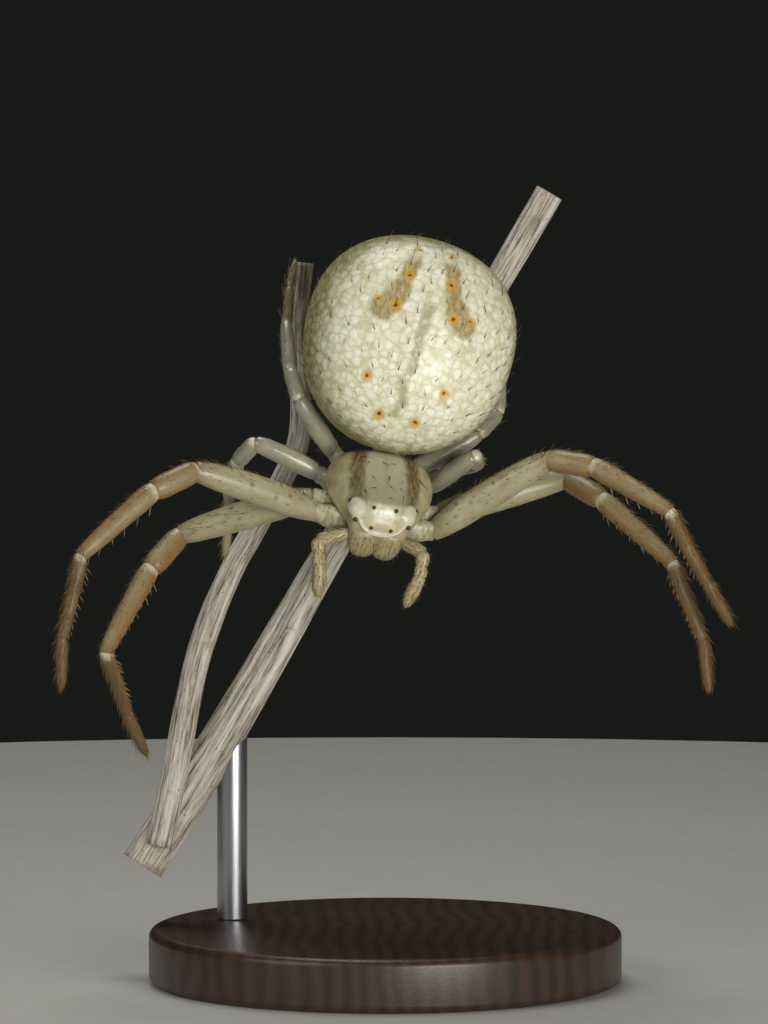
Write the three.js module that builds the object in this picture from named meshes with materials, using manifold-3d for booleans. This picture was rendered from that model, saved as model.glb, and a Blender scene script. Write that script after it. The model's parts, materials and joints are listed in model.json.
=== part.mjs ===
// A life-size crab spider, head down on a dry stem, held over a round base by a rod.
// Millimetres, +Z up. The origin is the middle of the base's underside, and the viewer looks along +Y.
// Left and right are the animal's own: its left legs lie on the +X side.

import * as THREE from 'three';
import { mergeVertices } from 'three/addons/utils/BufferGeometryUtils.js';
import Module from 'manifold-3d';

const wasm = await Module();
wasm.setup();

// Driving dimensions of the body
const CARAPACE_HALF_WIDTH = 1.6;
const ABDOMEN_LENGTH = 6.5;
const ABDOMEN_WIDTH = 6.4;
const ABDOMEN_DEPTH = 5.2;
const EYE_RADIUS = 0.06;
const PARTING = 0.05;
const EYE_PARTING = 0.012;

// Pose of the body: the carapace and the abdomen are turned on their own
const VIEW_RISE = 6;
const SPECIMEN_PLACE = [-0.2, -1.2, 14.6];
const PROSOMA_TURN = [47, 13.6, 0];
const ABDOMEN_TURN = [82, 7.7, -13.3];
const ABDOMEN_PLACE = [0.87, 0.375, 4.416];

// Perch and stand
const STEM_LOW = [-7.0, 3.9, -11.0];
const STEM_HIGH = [5.05, 3.9, 9.0];
const STEM_RADII = [0.66, 0.5];
const STEM_SWAY = 0.06;
const STEM_WAVES = 9;
const STEM_TWIST = 2.2;
const TWIG_RADII = [0.42, 0.3];
const TWIG_DEPTH = 3.5;
const BASE_RADIUS = 7;
const BASE_THICKNESS = 1.6;
const BASE_BEVEL = 0.25;
const ROD_RADIUS = 0.45;
const ROD_STATION = 0.22;

// Colours
const CREAM = '#d9d2b4';
const OLIVE = '#a39c72';
const TAN = '#b89a6c';
const PALE_GREY = '#c3c4b8';
const EYE_BLACK = '#17110d';
const FANG_BROWN = '#4a2717';
const STRAW = '#a79e88';
const STEEL = '#8d9094';
const WOOD = '#4b3a2c';

function radians(degrees) {
  return THREE.MathUtils.degToRad(degrees);
}

function vec(values) {
  return new THREE.Vector3(values[0], values[1], values[2]);
}

// A frame is a rotation and a place, as one matrix in the specimen's space
function frame(turn, place) {
  const rotation = new THREE.Euler(radians(turn[0]), radians(turn[1]), radians(turn[2]), 'XYZ');
  return new THREE.Matrix4().makeRotationFromEuler(rotation).setPosition(vec(place));
}

const PROSOMA_FRAME = frame(PROSOMA_TURN, [0, 0, 0]);
const ABDOMEN_FRAME = frame(ABDOMEN_TURN, ABDOMEN_PLACE);

// Closed shell through rings of equal size, each with its points anticlockwise seen from the last ring
function closedLoft(rings) {
  const sides = rings[0].length;
  const points = rings.flat();
  const first = points.length;
  points.push(middle(rings[0]), middle(rings[rings.length - 1]));
  const faces = [];
  for (let side = 0; side < sides; side += 1) {
    const next = (side + 1) % sides;
    for (let ring = 0; ring < rings.length - 1; ring += 1) {
      const low = ring * sides;
      const high = low + sides;
      faces.push(low + side, low + next, high + next, low + side, high + next, high + side);
    }
    const last = (rings.length - 1) * sides;
    faces.push(first, next, side, first + 1, last + side, last + next);
  }
  const geometry = new THREE.BufferGeometry();
  const numbers = points.flatMap((point) => point.toArray());
  geometry.setAttribute('position', new THREE.Float32BufferAttribute(numbers, 3));
  geometry.setIndex(faces);
  return geometry;
}

function middle(ring) {
  const sum = ring.reduce((total, point) => total.add(point), new THREE.Vector3());
  return sum.divideScalar(ring.length);
}

// A rounded section: power 1 is an ellipse, and a smaller power is squarer
function roundRing(centre, across, upward, width, top, bottom, sides, power) {
  const points = [];
  for (let side = 0; side < sides; side += 1) {
    const angle = (side / sides) * 2 * Math.PI;
    const c = Math.cos(angle);
    const s = Math.sin(angle);
    const x = Math.sign(c) * Math.abs(c) ** power * width;
    const z = Math.sign(s) * Math.abs(s) ** power * (s > 0 ? top : bottom);
    points.push(centre.clone().addScaledVector(across, x).addScaledVector(upward, z));
  }
  return points;
}

function toSolid(geometry) {
  const bare = geometry.clone();
  bare.deleteAttribute('normal');
  bare.deleteAttribute('uv');
  const merged = mergeVertices(bare, 1e-5);
  const mesh = new wasm.Mesh({
    numProp: 3,
    vertProperties: new Float32Array(merged.attributes.position.array),
    triVerts: new Uint32Array(merged.index.array),
  });
  return new wasm.Manifold(mesh);
}

function toGeometry(solid) {
  const mesh = solid.getMesh();
  const geometry = new THREE.BufferGeometry();
  geometry.setAttribute('position', new THREE.BufferAttribute(mesh.vertProperties, 3));
  geometry.setIndex(new THREE.BufferAttribute(mesh.triVerts, 1));
  return geometry;
}

// Takes the tools out of a shape and keeps the largest piece that is left
function cutBy(geometry, tools) {
  const cut = tools.reduce((solid, tool) => solid.subtract(toSolid(tool)), toSolid(geometry));
  const pieces = cut.decompose().sort((a, b) => b.volume() - a.volume());
  return toGeometry(pieces[0]);
}

function part(name, geometry, colour, roughness) {
  const shaded = geometry.index ? geometry.toNonIndexed() : geometry;
  shaded.computeVertexNormals();
  const material = new THREE.MeshStandardMaterial({ color: colour, roughness, metalness: 0 });
  const mesh = new THREE.Mesh(shaded, material);
  mesh.name = name;
  return mesh;
}

// Shell along the Y axis of a body frame. A row holds y, half width, top, bottom and squareness
function bodyLoft(rows, sides, matrix, grow) {
  const across = new THREE.Vector3(1, 0, 0);
  const upward = new THREE.Vector3(0, 0, 1);
  const last = rows.length - 1;
  const rings = rows.map((row, index) => {
    const shift = index === 0 ? -grow : index === last ? grow : 0;
    const centre = new THREE.Vector3(0, row.y + shift, row.lift ?? 0);
    const [width, top, bottom] = [row.width + grow, row.top + grow, row.bottom + grow];
    return roundRing(centre, across, upward, width, top, bottom, sides, row.power);
  });
  return closedLoft(rings.reverse()).applyMatrix4(matrix);
}

// Dorsal shield with the muscles under it: the head end is at the low y
function carapaceShape(grow) {
  const wide = CARAPACE_HALF_WIDTH;
  const rows = [
    { y: -1.7, width: 0.66, top: 0.12, bottom: 0.1, power: 0.8 },
    { y: -1.6, width: 0.8, top: 0.46, bottom: 0.12, power: 0.75 },
    { y: -1.44, width: 0.92, top: 0.78, bottom: 0.12, power: 0.75 },
    { y: -1.2, width: 1.0, top: 0.92, bottom: 0.12, power: 0.78 },
    { y: -0.8, width: 0.77 * wide, top: 0.98, bottom: 0.14, power: 0.8 },
    { y: -0.3, width: 0.93 * wide, top: 1.0, bottom: 0.15, power: 0.8 },
    { y: 0.2, width: wide, top: 1.0, bottom: 0.15, power: 0.8 },
    { y: 0.65, width: 0.97 * wide, top: 0.98, bottom: 0.15, power: 0.8 },
    { y: 0.95, width: 0.88 * wide, top: 0.84, bottom: 0.14, power: 0.8 },
    { y: 1.3, width: 0.7 * wide, top: 0.5, bottom: 0.12, power: 0.85 },
    { y: 1.58, width: 0.42 * wide, top: 0.2, bottom: 0.1, power: 0.9 },
  ];
  return bodyLoft(rows, 24, PROSOMA_FRAME, grow);
}

// Underside plate with the labium and the palp bases at its front
function sternumShape(grow) {
  const rows = [
    { y: -1.5, width: 0.3, top: 0.16, bottom: 0.2 },
    { y: -1.35, width: 0.5, top: 0.3, bottom: 0.34 },
    { y: -1.0, width: 0.56, top: 0.34, bottom: 0.42 },
    { y: -0.7, width: 0.7, top: 0.36, bottom: 0.4 },
    { y: 0.0, width: 0.84, top: 0.36, bottom: 0.42 },
    { y: 0.7, width: 0.74, top: 0.36, bottom: 0.38 },
    { y: 1.3, width: 0.42, top: 0.3, bottom: 0.28 },
  ];
  const dressed = rows.map((row) => ({ ...row, lift: -0.55, power: 0.85 }));
  return bodyLoft(dressed, 12, PROSOMA_FRAME, grow);
}

// Plump rounded disc, a little wider behind the middle
function abdomenShape(grow) {
  const rows = [];
  const steps = 12;
  for (let step = 0; step <= steps; step += 1) {
    const along = -Math.cos((step / steps) * Math.PI);
    const reach = Math.max(0.12, (1 - Math.abs(along) ** 2.3) ** (1 / 2.1));
    const swell = 1 + 0.05 * along;
    rows.push({
      y: along * ABDOMEN_LENGTH * 0.5,
      width: reach * swell * ABDOMEN_WIDTH * 0.49,
      top: reach * ABDOMEN_DEPTH * 0.5,
      bottom: reach * ABDOMEN_DEPTH * 0.5,
      power: 0.94,
    });
  }
  return bodyLoft(rows, 24, ABDOMEN_FRAME, grow);
}

// Sweeps an oval section along a path. A station holds its distance, half width and half height
function limbShape(points, stations, side, sides, grow) {
  const path = roundedPath(points);
  const last = stations.length - 1;
  const rings = stations.map((station, index) => {
    const shift = index === 0 ? -grow : index === last ? grow : 0;
    const { place, along } = path(station[0] + shift);
    const across = side.clone().addScaledVector(along, -side.dot(along)).normalize();
    const upward = across.clone().cross(along).normalize();
    const width = station[1] + grow;
    const height = (station[2] ?? station[1]) + grow;
    return roundRing(place, across, upward, width, height, height, sides, 1);
  });
  return closedLoft(rings.reverse());
}

// Place and direction at a distance along a polyline whose corners are eased
function roundedPath(points) {
  const ease = 0.22;
  const lengths = points.slice(1).map((point, index) => point.distanceTo(points[index]));
  const at = (distance) => {
    let rest = distance;
    let leg = 0;
    while (leg < lengths.length - 1 && rest > lengths[leg]) {
      rest -= lengths[leg];
      leg += 1;
    }
    return points[leg].clone().lerp(points[leg + 1], rest / lengths[leg]);
  };
  return (distance) => {
    const ahead = at(distance + ease);
    const behind = at(distance - ease);
    const place = ahead.clone().add(behind).multiplyScalar(0.5);
    return { place, along: ahead.sub(behind).normalize() };
  };
}

// Heading is the angle in the picture plane, from +X towards +Z. Lean is towards the viewer
function direction(heading, lean) {
  const h = radians(heading);
  const e = radians(lean);
  return new THREE.Vector3(Math.cos(h) * Math.cos(e), -Math.sin(e), Math.sin(h) * Math.cos(e));
}

function chain(start, lengths, turns) {
  const joints = [start.clone()];
  turns.forEach((turn, index) => {
    const step = direction(turn[0], turn[1]).multiplyScalar(lengths[index]);
    joints.push(joints[index].clone().add(step));
  });
  return joints;
}

// Lengths are femur, patella, tibia, metatarsus and tarsus. Radii take in the leg's short hairs
const FRONT_LEG = {
  lengths: [4.1, 1.5, 3.0, 2.45, 1.5],
  coxa: [0.3, 0.42],
  femur: [[-0.12, 0.24], [0.1, 0.34], [0.7, 0.43], [1.8, 0.47], [3.0, 0.44], [3.8, 0.36], [4.2, 0.24]],
  shin: [
    [-0.15, 0.22], [0.1, 0.33], [0.8, 0.38], [1.45, 0.34],
    [1.8, 0.32], [2.7, 0.33], [4.1, 0.27], [4.6, 0.19],
  ],
  foot: [[-0.1, 0.18], [0.1, 0.25], [1.2, 0.25], [2.4, 0.25], [3.6, 0.25], [3.9, 0.15]],
};

const REAR_LEG = {
  coxa: [0.28, 0.36],
  femur: [[-0.1, 0.2], [0.08, 0.27], [0.6, 0.33], [1.4, 0.32], [1.95, 0.27], [2.18, 0.18]],
  shin: [[-0.12, 0.17], [0.06, 0.26], [0.5, 0.28], [1.0, 0.26], [1.5, 0.26], [2.3, 0.25], [2.55, 0.17]],
  foot: [[-0.08, 0.17], [0.08, 0.25], [1.0, 0.25], [1.75, 0.25], [1.95, 0.15]],
};

const LEG_PAIRS = {
  1: { ...FRONT_LEG, root: [0.8, -0.72, -0.55] },
  2: { ...FRONT_LEG, root: [0.85, -0.1, -0.55] },
  3: { ...REAR_LEG, root: [0.8, 0.5, -0.55], lengths: [2.1, 1.0, 1.5, 1.1, 0.85] },
  4: { ...REAR_LEG, root: [0.55, 1.02, -0.55], lengths: [2.16, 1.0, 1.8, 1.2, 0.85] },
};

// Hip places are in the carapace's own frame. Turns are heading and lean, from femur to tarsus
const LEGS = [
  {
    side: 'left',
    pair: 1,
    hip: [1.8, -0.56, -0.55],
    turns: [[32, 14], [-9, 27], [-31, 32], [-62, -16], [-60, -18]],
  },
  {
    side: 'left',
    pair: 2,
    hip: [1.9, 0.1, -0.55],
    turns: [[16, -13], [-32, 37], [-42, 23], [-68, 0], [-84, 3]],
  },
  {
    side: 'left',
    pair: 3,
    hip: [1.7, 1.2, -0.55],
    turns: [[35, 41], [-66, -75], [-165, -53], [176, -32], [144, -8]],
  },
  {
    side: 'left',
    pair: 4,
    hip: [1.22, 1.88, -0.55],
    turns: [[28, -2], [48, -34], [89, -16], [109, -1], [72, 0]],
  },
  {
    side: 'right',
    pair: 1,
    hip: [-1.8, -0.56, -0.55],
    turns: [[161, 26], [-154, 26], [-138, 20], [-103, -2], [-91, -6]],
  },
  {
    side: 'right',
    pair: 2,
    hip: [-1.9, 0, -0.55],
    turns: [[-164, -11], [-131, 28], [-118, 23], [-72, -38], [-65, -28]],
  },
  {
    side: 'right',
    pair: 3,
    hip: [-1.7, 1.0, -0.55],
    turns: [[154, 10], [-133, -42], [-105, -43], [-93, -28], [-94, -21]],
  },
  {
    side: 'right',
    pair: 4,
    hip: [-1.22, 1.95, -0.55],
    turns: [[123, 28], [107, -33], [95, -37], [85, -27], [78, -19]],
  },
];

// Shapes of one leg's four lengths, each as a function of how much it is grown
function legShapes(leg) {
  const pair = LEG_PAIRS[leg.pair];
  const mirror = leg.side === 'left' ? 1 : -1;
  const hip = vec(leg.hip).applyMatrix4(PROSOMA_FRAME);
  const root = vec([mirror * pair.root[0], pair.root[1], pair.root[2]]).applyMatrix4(PROSOMA_FRAME);
  const joints = chain(hip, pair.lengths, leg.turns);
  const bend = joints[1].clone().sub(joints[0]).cross(joints[3].clone().sub(joints[1])).normalize();
  const behind = new THREE.Vector3(0, 1, 0).transformDirection(PROSOMA_FRAME);
  const reach = root.distanceTo(hip);
  const [coxaWidth, coxaHeight] = pair.coxa;
  const coxa = [
    [-0.05, 0.8 * coxaWidth, 0.8 * coxaHeight],
    [0.25, coxaWidth, coxaHeight],
    [reach - 0.15, coxaWidth, 0.92 * coxaHeight],
    [reach + 0.12, 0.7 * coxaWidth, 0.65 * coxaHeight],
  ];
  return {
    hip: (grow) => limbShape([root, hip], coxa, behind, 8, grow),
    femur: (grow) => limbShape([joints[0], joints[1]], pair.femur, bend, 10, grow),
    shin: (grow) => limbShape([joints[1], joints[2], joints[3]], pair.shin, bend, 8, grow),
    foot: (grow) => limbShape([joints[3], joints[4], joints[5]], pair.foot, bend, 8, grow),
  };
}

// Each length is cut back from the one before it, and each hip from the hip in front of it
function legParts(leg, hipTools) {
  const shapes = legShapes(leg);
  const name = `leg_${leg.side}_${leg.pair}`;
  const colour = leg.pair < 3 ? CREAM : PALE_GREY;
  const hip = cutBy(shapes.hip(0), hipTools);
  const femur = cutBy(shapes.femur(0), [shapes.hip(PARTING), ...hipTools]);
  const shin = cutBy(shapes.shin(0), [shapes.femur(PARTING)]);
  const foot = cutBy(shapes.foot(0), [shapes.shin(PARTING)]);
  const parts = [
    part(`${name}_hip`, hip, colour, 0.5),
    part(`${name}_femur`, femur, colour, 0.5),
    part(`${name}_shin`, shin, leg.pair < 3 ? TAN : colour, 0.5),
    part(`${name}_foot`, foot, leg.pair < 3 ? TAN : colour, 0.5),
  ];
  return { parts, tools: [shapes.hip(PARTING), shapes.femur(PARTING)] };
}

function allLegs(bodyTools) {
  const meshes = [];
  for (const side of ['left', 'right']) {
    let before = [];
    for (const leg of LEGS.filter((entry) => entry.side === side)) {
      const { parts, tools } = legParts(leg, [...bodyTools, ...before]);
      meshes.push(...parts);
      before = tools;
    }
  }
  return meshes;
}

// Each jaw is a stout downward cone beside the middle line, and its fang folds in under its end
const JAW_STATIONS = [
  [-0.1, 0.36, 0.3], [0.15, 0.44, 0.36], [0.6, 0.42, 0.33], [0.87, 0.34, 0.25], [0.99, 0.2, 0.13],
];

function jawShape(mirror, grow) {
  const top = vec([mirror * 0.42, -1.42, 0.0]).applyMatrix4(PROSOMA_FRAME);
  const end = vec([mirror * 0.36, -1.52, -0.95]).applyMatrix4(PROSOMA_FRAME);
  const across = new THREE.Vector3(1, 0, 0).transformDirection(PROSOMA_FRAME);
  return limbShape([top, end], JAW_STATIONS, across, 10, grow);
}

function fangShape(mirror) {
  const top = vec([mirror * 0.34, -1.5, -1.03]).applyMatrix4(PROSOMA_FRAME);
  const tip = vec([mirror * 0.08, -1.3, -1.09]).applyMatrix4(PROSOMA_FRAME);
  const across = new THREE.Vector3(0, 0, 1).transformDirection(PROSOMA_FRAME);
  return limbShape([top, tip], [[-0.05, 0.08], [0.06, 0.09], [0.22, 0.06], [0.36, 0.02]], across, 6, 0);
}

function jawParts(bodyTools) {
  const meshes = [];
  const before = [...bodyTools];
  for (const [side, mirror] of [['left', 1], ['right', -1]]) {
    meshes.push(part(`jaw_${side}`, cutBy(jawShape(mirror, 0), before), TAN, 0.45));
    before.push(jawShape(mirror, PARTING));
    meshes.push(part(`fang_${side}`, cutBy(fangShape(mirror), before), FANG_BROWN, 0.3));
  }
  return meshes;
}

// Palps have a short upper length and a lower one with a bend at its shin
const PALPS = [
  { side: 'left', root: [0.74, -1.3, -0.4], turns: [[-28, 38], [-98, 10], [-117, -6]] },
  { side: 'right', root: [-0.74, -1.3, -0.4], turns: [[-167, 6], [-86, 8], [-93, -6]] },
];
const PALP_LENGTHS = [1.0, 0.72, 0.95];
const PALP_UPPER = [[-0.1, 0.16], [0.1, 0.22], [0.6, 0.24], [0.95, 0.22], [1.08, 0.15]];
const PALP_LOWER = [[-0.12, 0.15], [0.06, 0.23], [0.7, 0.23], [1.2, 0.25], [1.5, 0.2], [1.7, 0.1]];

function palpShapes(palp) {
  const root = vec(palp.root).applyMatrix4(PROSOMA_FRAME);
  const joints = chain(root, PALP_LENGTHS, palp.turns);
  const across = new THREE.Vector3(0, 1, 0);
  return {
    upper: (grow) => limbShape([joints[0], joints[1]], PALP_UPPER, across, 8, grow),
    lower: (grow) => limbShape([joints[1], joints[2], joints[3]], PALP_LOWER, across, 8, grow),
  };
}

function palpParts(bodyTools) {
  return PALPS.flatMap((palp) => {
    const shapes = palpShapes(palp);
    const mirror = palp.side === 'left' ? 1 : -1;
    const tools = [...bodyTools, jawShape(mirror, PARTING)];
    const upper = cutBy(shapes.upper(0), tools);
    const lower = cutBy(shapes.lower(0), [shapes.upper(PARTING), ...tools]);
    return [
      part(`palp_${palp.side}_upper`, upper, TAN, 0.5),
      part(`palp_${palp.side}_lower`, lower, TAN, 0.5),
    ];
  });
}

// Two curved rows of four eyes, in the carapace's own frame
const EYES = {
  front_middle: [0.3, -1.64, 0.315],
  front_side: [0.78, -1.49, 0.42],
  rear_middle: [0.345, -1.33, 0.83],
  rear_side: [0.955, -1.0, 0.62],
};

function eyeParts() {
  const tool = carapaceShape(EYE_PARTING);
  const meshes = [];
  for (const [row, place] of Object.entries(EYES)) {
    for (const [side, mirror] of [['left', 1], ['right', -1]]) {
      const centre = vec([mirror * place[0], place[1], place[2]]).applyMatrix4(PROSOMA_FRAME);
      const ball = new THREE.SphereGeometry(EYE_RADIUS, 8, 5).translate(centre.x, centre.y, centre.z);
      meshes.push(part(`eye_${row}_${side}`, cutBy(ball, [tool]), EYE_BLACK, 0.1));
    }
  }
  return meshes;
}

// Six short cones low on the hind end, joined as one piece. Each pair has a half gap, drop and length
const SPINNERETS = [[0.18, 0, 0.44], [0.11, -0.14, 0.32], [0.18, -0.3, 0.46]];
const SPINNERET_BASE = [0, 0.455 * ABDOMEN_LENGTH, -1.0];

function spinneretShape() {
  const base = vec(SPINNERET_BASE);
  const cones = [];
  for (const [across, drop, length] of SPINNERETS) {
    for (const mirror of [1, -1]) {
      const profile = [[0, -0.3], [0.16, -0.3], [0.14, 0.6 * length], [0.07, length], [0, length]];
      const cone = new THREE.LatheGeometry(profile.map(([r, h]) => new THREE.Vector2(r, h)), 6);
      cone.translate(base.x + mirror * across, base.y, base.z + drop);
      cones.push(toSolid(cone.applyMatrix4(ABDOMEN_FRAME)));
    }
  }
  return toGeometry(cones.reduce((all, cone) => all.add(cone)));
}

// The waist joins the abdomen and is cut back from the carapace
function abdomenWithWaist(bodyTools) {
  const start = new THREE.Vector3(0, 1.45, -0.12).applyMatrix4(PROSOMA_FRAME);
  const end = new THREE.Vector3(0, -2.4, -1.2).applyMatrix4(ABDOMEN_FRAME);
  const across = new THREE.Vector3(1, 0, 0);
  const reach = start.distanceTo(end);
  const waist = limbShape([start, end], [[0, 0.26], [0.3, 0.26], [reach, 0.45]], across, 12, 0);
  const whole = toGeometry(toSolid(abdomenShape(0)).add(toSolid(waist)));
  return cutBy(whole, bodyTools);
}

function spiderParts() {
  const shield = carapaceShape(PARTING);
  const plate = sternumShape(PARTING);
  const body = [shield, plate];
  const spinnerets = cutBy(spinneretShape(), [abdomenShape(PARTING)]);
  return [
    part('carapace', carapaceShape(0), OLIVE, 0.45),
    part('sternum', cutBy(sternumShape(0), [shield]), OLIVE, 0.5),
    part('abdomen', abdomenWithWaist(body), CREAM, 0.5),
    part('spinnerets', spinnerets, TAN, 0.5),
    ...eyeParts(),
    ...jawParts(body),
    ...palpParts(body),
    ...allLegs(body),
  ];
}

// Two strands grown together: the section is a rounded figure of eight that turns along the stem
function stemShape(grow) {
  const low = vec(STEM_LOW);
  const high = vec(STEM_HIGH);
  const along = high.clone().sub(low).normalize();
  const across = new THREE.Vector3(1, 0, 0).addScaledVector(along, -along.x).normalize();
  const upward = across.clone().cross(along).normalize();
  const rings = [];
  const steps = 14;
  for (let step = 0; step <= steps; step += 1) {
    const t = step / steps;
    const radius = THREE.MathUtils.lerp(STEM_RADII[0], STEM_RADII[1], t);
    const sway = STEM_SWAY * Math.sin(STEM_WAVES * t);
    const past = step === 0 ? -grow : step === steps ? grow : 0;
    const centre = low.clone().lerp(high, t).addScaledVector(across, sway).addScaledVector(along, past);
    rings.push(strandRing(centre, across, upward, radius + grow, STEM_TWIST * t));
  }
  return closedLoft(rings.reverse());
}

function strandRing(centre, across, upward, radius, twist) {
  const sides = 14;
  const points = [];
  for (let side = 0; side < sides; side += 1) {
    const angle = (side / sides) * 2 * Math.PI;
    const reach = radius * (0.86 + 0.14 * Math.cos(2 * (angle - twist)));
    const point = centre.clone().addScaledVector(across, reach * Math.cos(angle));
    points.push(point.addScaledVector(upward, reach * Math.sin(angle)));
  }
  return points;
}

// The thin side shoot leaves the stem low down and bows beside the right hind legs
const TWIG_PATH = [
  [-6.5, -10.4], [-6.04, -8.2], [-5.5, -5.35], [-5.0, -3.7], [-4.35, -2.2], [-3.78, -1.17],
  [-2.84, 0.5], [-2.36, 1.65], [-2.32, 3.2], [-2.42, 4.9], [-2.22, 6.9],
];

function twigShape() {
  const points = TWIG_PATH.map(([x, z]) => new THREE.Vector3(x, TWIG_DEPTH, z));
  const curve = new THREE.CatmullRomCurve3(points);
  const steps = 16;
  const upward = new THREE.Vector3(0, 1, 0);
  const rings = [];
  for (let step = 0; step <= steps; step += 1) {
    const t = step / steps;
    const across = upward.clone().cross(curve.getTangentAt(t)).normalize();
    const radius = THREE.MathUtils.lerp(TWIG_RADII[0], TWIG_RADII[1], t);
    rings.push(roundRing(curve.getPointAt(t), across, upward, radius, radius, radius, 8, 1));
  }
  return closedLoft(rings);
}

function perchParts() {
  return [
    part('perch_stem', stemShape(0), STRAW, 0.8),
    part('perch_twig', cutBy(twigShape(), [stemShape(PARTING)]), STRAW, 0.8),
  ];
}

function baseShape() {
  const edge = BASE_RADIUS - BASE_BEVEL;
  const top = BASE_THICKNESS;
  const outline = [
    [0, 0], [edge, 0], [BASE_RADIUS, BASE_BEVEL], [BASE_RADIUS, top - BASE_BEVEL], [edge, top], [0, top],
  ];
  const profile = outline.map(([radius, height]) => new THREE.Vector2(radius, height));
  return new THREE.LatheGeometry(profile, 40).rotateX(Math.PI / 2);
}

// An upright rod from the base to the underside of the stem, hollowed at its top to fit it
function rodShape(specimenMatrix) {
  const foot = BASE_THICKNESS + PARTING;
  const seat = vec(STEM_LOW).lerp(vec(STEM_HIGH), ROD_STATION).applyMatrix4(specimenMatrix);
  const rod = new THREE.CylinderGeometry(ROD_RADIUS, ROD_RADIUS, seat.z - foot, 14).rotateX(Math.PI / 2);
  rod.translate(seat.x, seat.y, (seat.z + foot) / 2);
  return cutBy(rod, [stemShape(PARTING).applyMatrix4(specimenMatrix)]);
}

function standParts(specimenMatrix) {
  return [
    part('stand_base', baseShape(), WOOD, 0.5),
    part('stand_rod', rodShape(specimenMatrix), STEEL, 0.35),
  ];
}

// The specimen's own plane faces the viewer, who looks down on it a little
function buildModel() {
  const model = new THREE.Group();
  const specimen = new THREE.Group();
  specimen.position.set(...SPECIMEN_PLACE);
  specimen.rotation.x = radians(-VIEW_RISE);
  specimen.add(...spiderParts(), ...perchParts());
  specimen.updateMatrix();
  model.add(specimen, ...standParts(specimen.matrix));
  return model;
}

export default buildModel();
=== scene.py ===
"""A still, life-size crab spider on a cut stem: its skin, bristles, eyes, perch, stand and stage."""

import json
import math

import bpy
import numpy as np
from bpy.props import FloatProperty, FloatVectorProperty, IntProperty, PointerProperty
from mathutils import Matrix, Vector

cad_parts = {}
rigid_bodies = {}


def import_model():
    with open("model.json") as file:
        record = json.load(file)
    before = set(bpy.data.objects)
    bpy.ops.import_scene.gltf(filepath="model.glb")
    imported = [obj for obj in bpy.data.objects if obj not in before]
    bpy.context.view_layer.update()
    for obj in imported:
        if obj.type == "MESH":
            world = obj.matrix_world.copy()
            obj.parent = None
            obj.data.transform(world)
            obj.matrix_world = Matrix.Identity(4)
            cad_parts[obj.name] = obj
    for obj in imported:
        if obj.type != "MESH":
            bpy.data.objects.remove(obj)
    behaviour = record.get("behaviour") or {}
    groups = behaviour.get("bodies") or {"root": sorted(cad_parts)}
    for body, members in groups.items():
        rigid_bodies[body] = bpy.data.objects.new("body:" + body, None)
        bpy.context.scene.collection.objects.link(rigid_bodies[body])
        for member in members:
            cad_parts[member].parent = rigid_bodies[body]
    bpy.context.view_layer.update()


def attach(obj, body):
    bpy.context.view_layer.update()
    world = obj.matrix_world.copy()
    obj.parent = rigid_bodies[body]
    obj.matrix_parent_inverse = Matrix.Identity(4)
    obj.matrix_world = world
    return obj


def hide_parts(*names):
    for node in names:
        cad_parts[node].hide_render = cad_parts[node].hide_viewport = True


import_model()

bl_info = {
    "name": "Crab Spider Model",
    "version": (1, 0, 0),
    "blender": (4, 5, 0),
    "location": "View3D > Sidebar > Crab Spider",
    "description": "Builds a still crab spider on its perch and stand",
    "category": "Add Mesh",
}

# The frame is in metres, and the body is worked out in millimetres in the specimen's own plane
MM = 0.001
VIEW_RISE = 6
SPECIMEN_PLACE = (-0.2, -1.2, 14.6)
PROSOMA_TURN = (47, 13.6, 0)
ABDOMEN_TURN = (82, 7.7, -13.3)
ABDOMEN_PLACE = (0.87, 0.375, 4.416)

# The reference picture: its size, its scale and the pixel where the middle of the carapace shows
PICTURE_SIZE = (768, 1024)
PIXELS_PER_MM = 34
CARAPACE_PIXEL = (378.5, 495.2)

# Sizes of the body, less the depth of its short bristles
CARAPACE_HALF_WIDTH = 1.6
ABDOMEN_LENGTH = 6.44
ABDOMEN_WIDTH = 6.34
ABDOMEN_DEPTH = 5.14
EYE_RADIUS = 0.062
PATCH = 0.003


def turning(degrees):
    """Rotation matrix whose Z turn is made first and X turn last."""
    axes = [Matrix.Rotation(math.radians(angle), 3, axis) for angle, axis in zip(degrees, "XYZ")]
    return np.array(axes[0] @ axes[1] @ axes[2])


PROSOMA = (turning(PROSOMA_TURN), np.zeros(3))
ABDOMEN = (turning(ABDOMEN_TURN), np.array(ABDOMEN_PLACE))
SPECIMEN = (turning((-VIEW_RISE, 0, 0)), np.array(SPECIMEN_PLACE))


def placed(points, body):
    """Points of a body's own frame, in the specimen's frame."""
    turn, place = body
    return np.asarray(points, float) @ turn.T + place


def to_row(points):
    """Specimen millimetres to the row's metres."""
    return placed(points, SPECIMEN) * MM


def turned(vectors, body):
    """Directions of a body's own frame, in the specimen's frame."""
    return np.asarray(vectors, float) @ body[0].T


def unit(vectors):
    length = np.linalg.norm(vectors, axis=-1, keepdims=True)
    return vectors / np.maximum(length, 1e-12)


def smooth_rows(table, count):
    """Resamples a table with a smooth curve through its rows."""
    rows = np.asarray(table, float)
    slope = np.gradient(rows, axis=0)
    reach = np.linspace(0, len(rows) - 1, count)
    low = np.minimum(reach.astype(int), len(rows) - 2)
    f = (reach - low)[:, None]
    before = (2 * f**3 - 3 * f**2 + 1) * rows[low] + (f**3 - 2 * f**2 + f) * slope[low]
    after = (3 * f**2 - 2 * f**3) * rows[low + 1] + (f**3 - f**2) * slope[low + 1]
    return before + after


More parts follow.
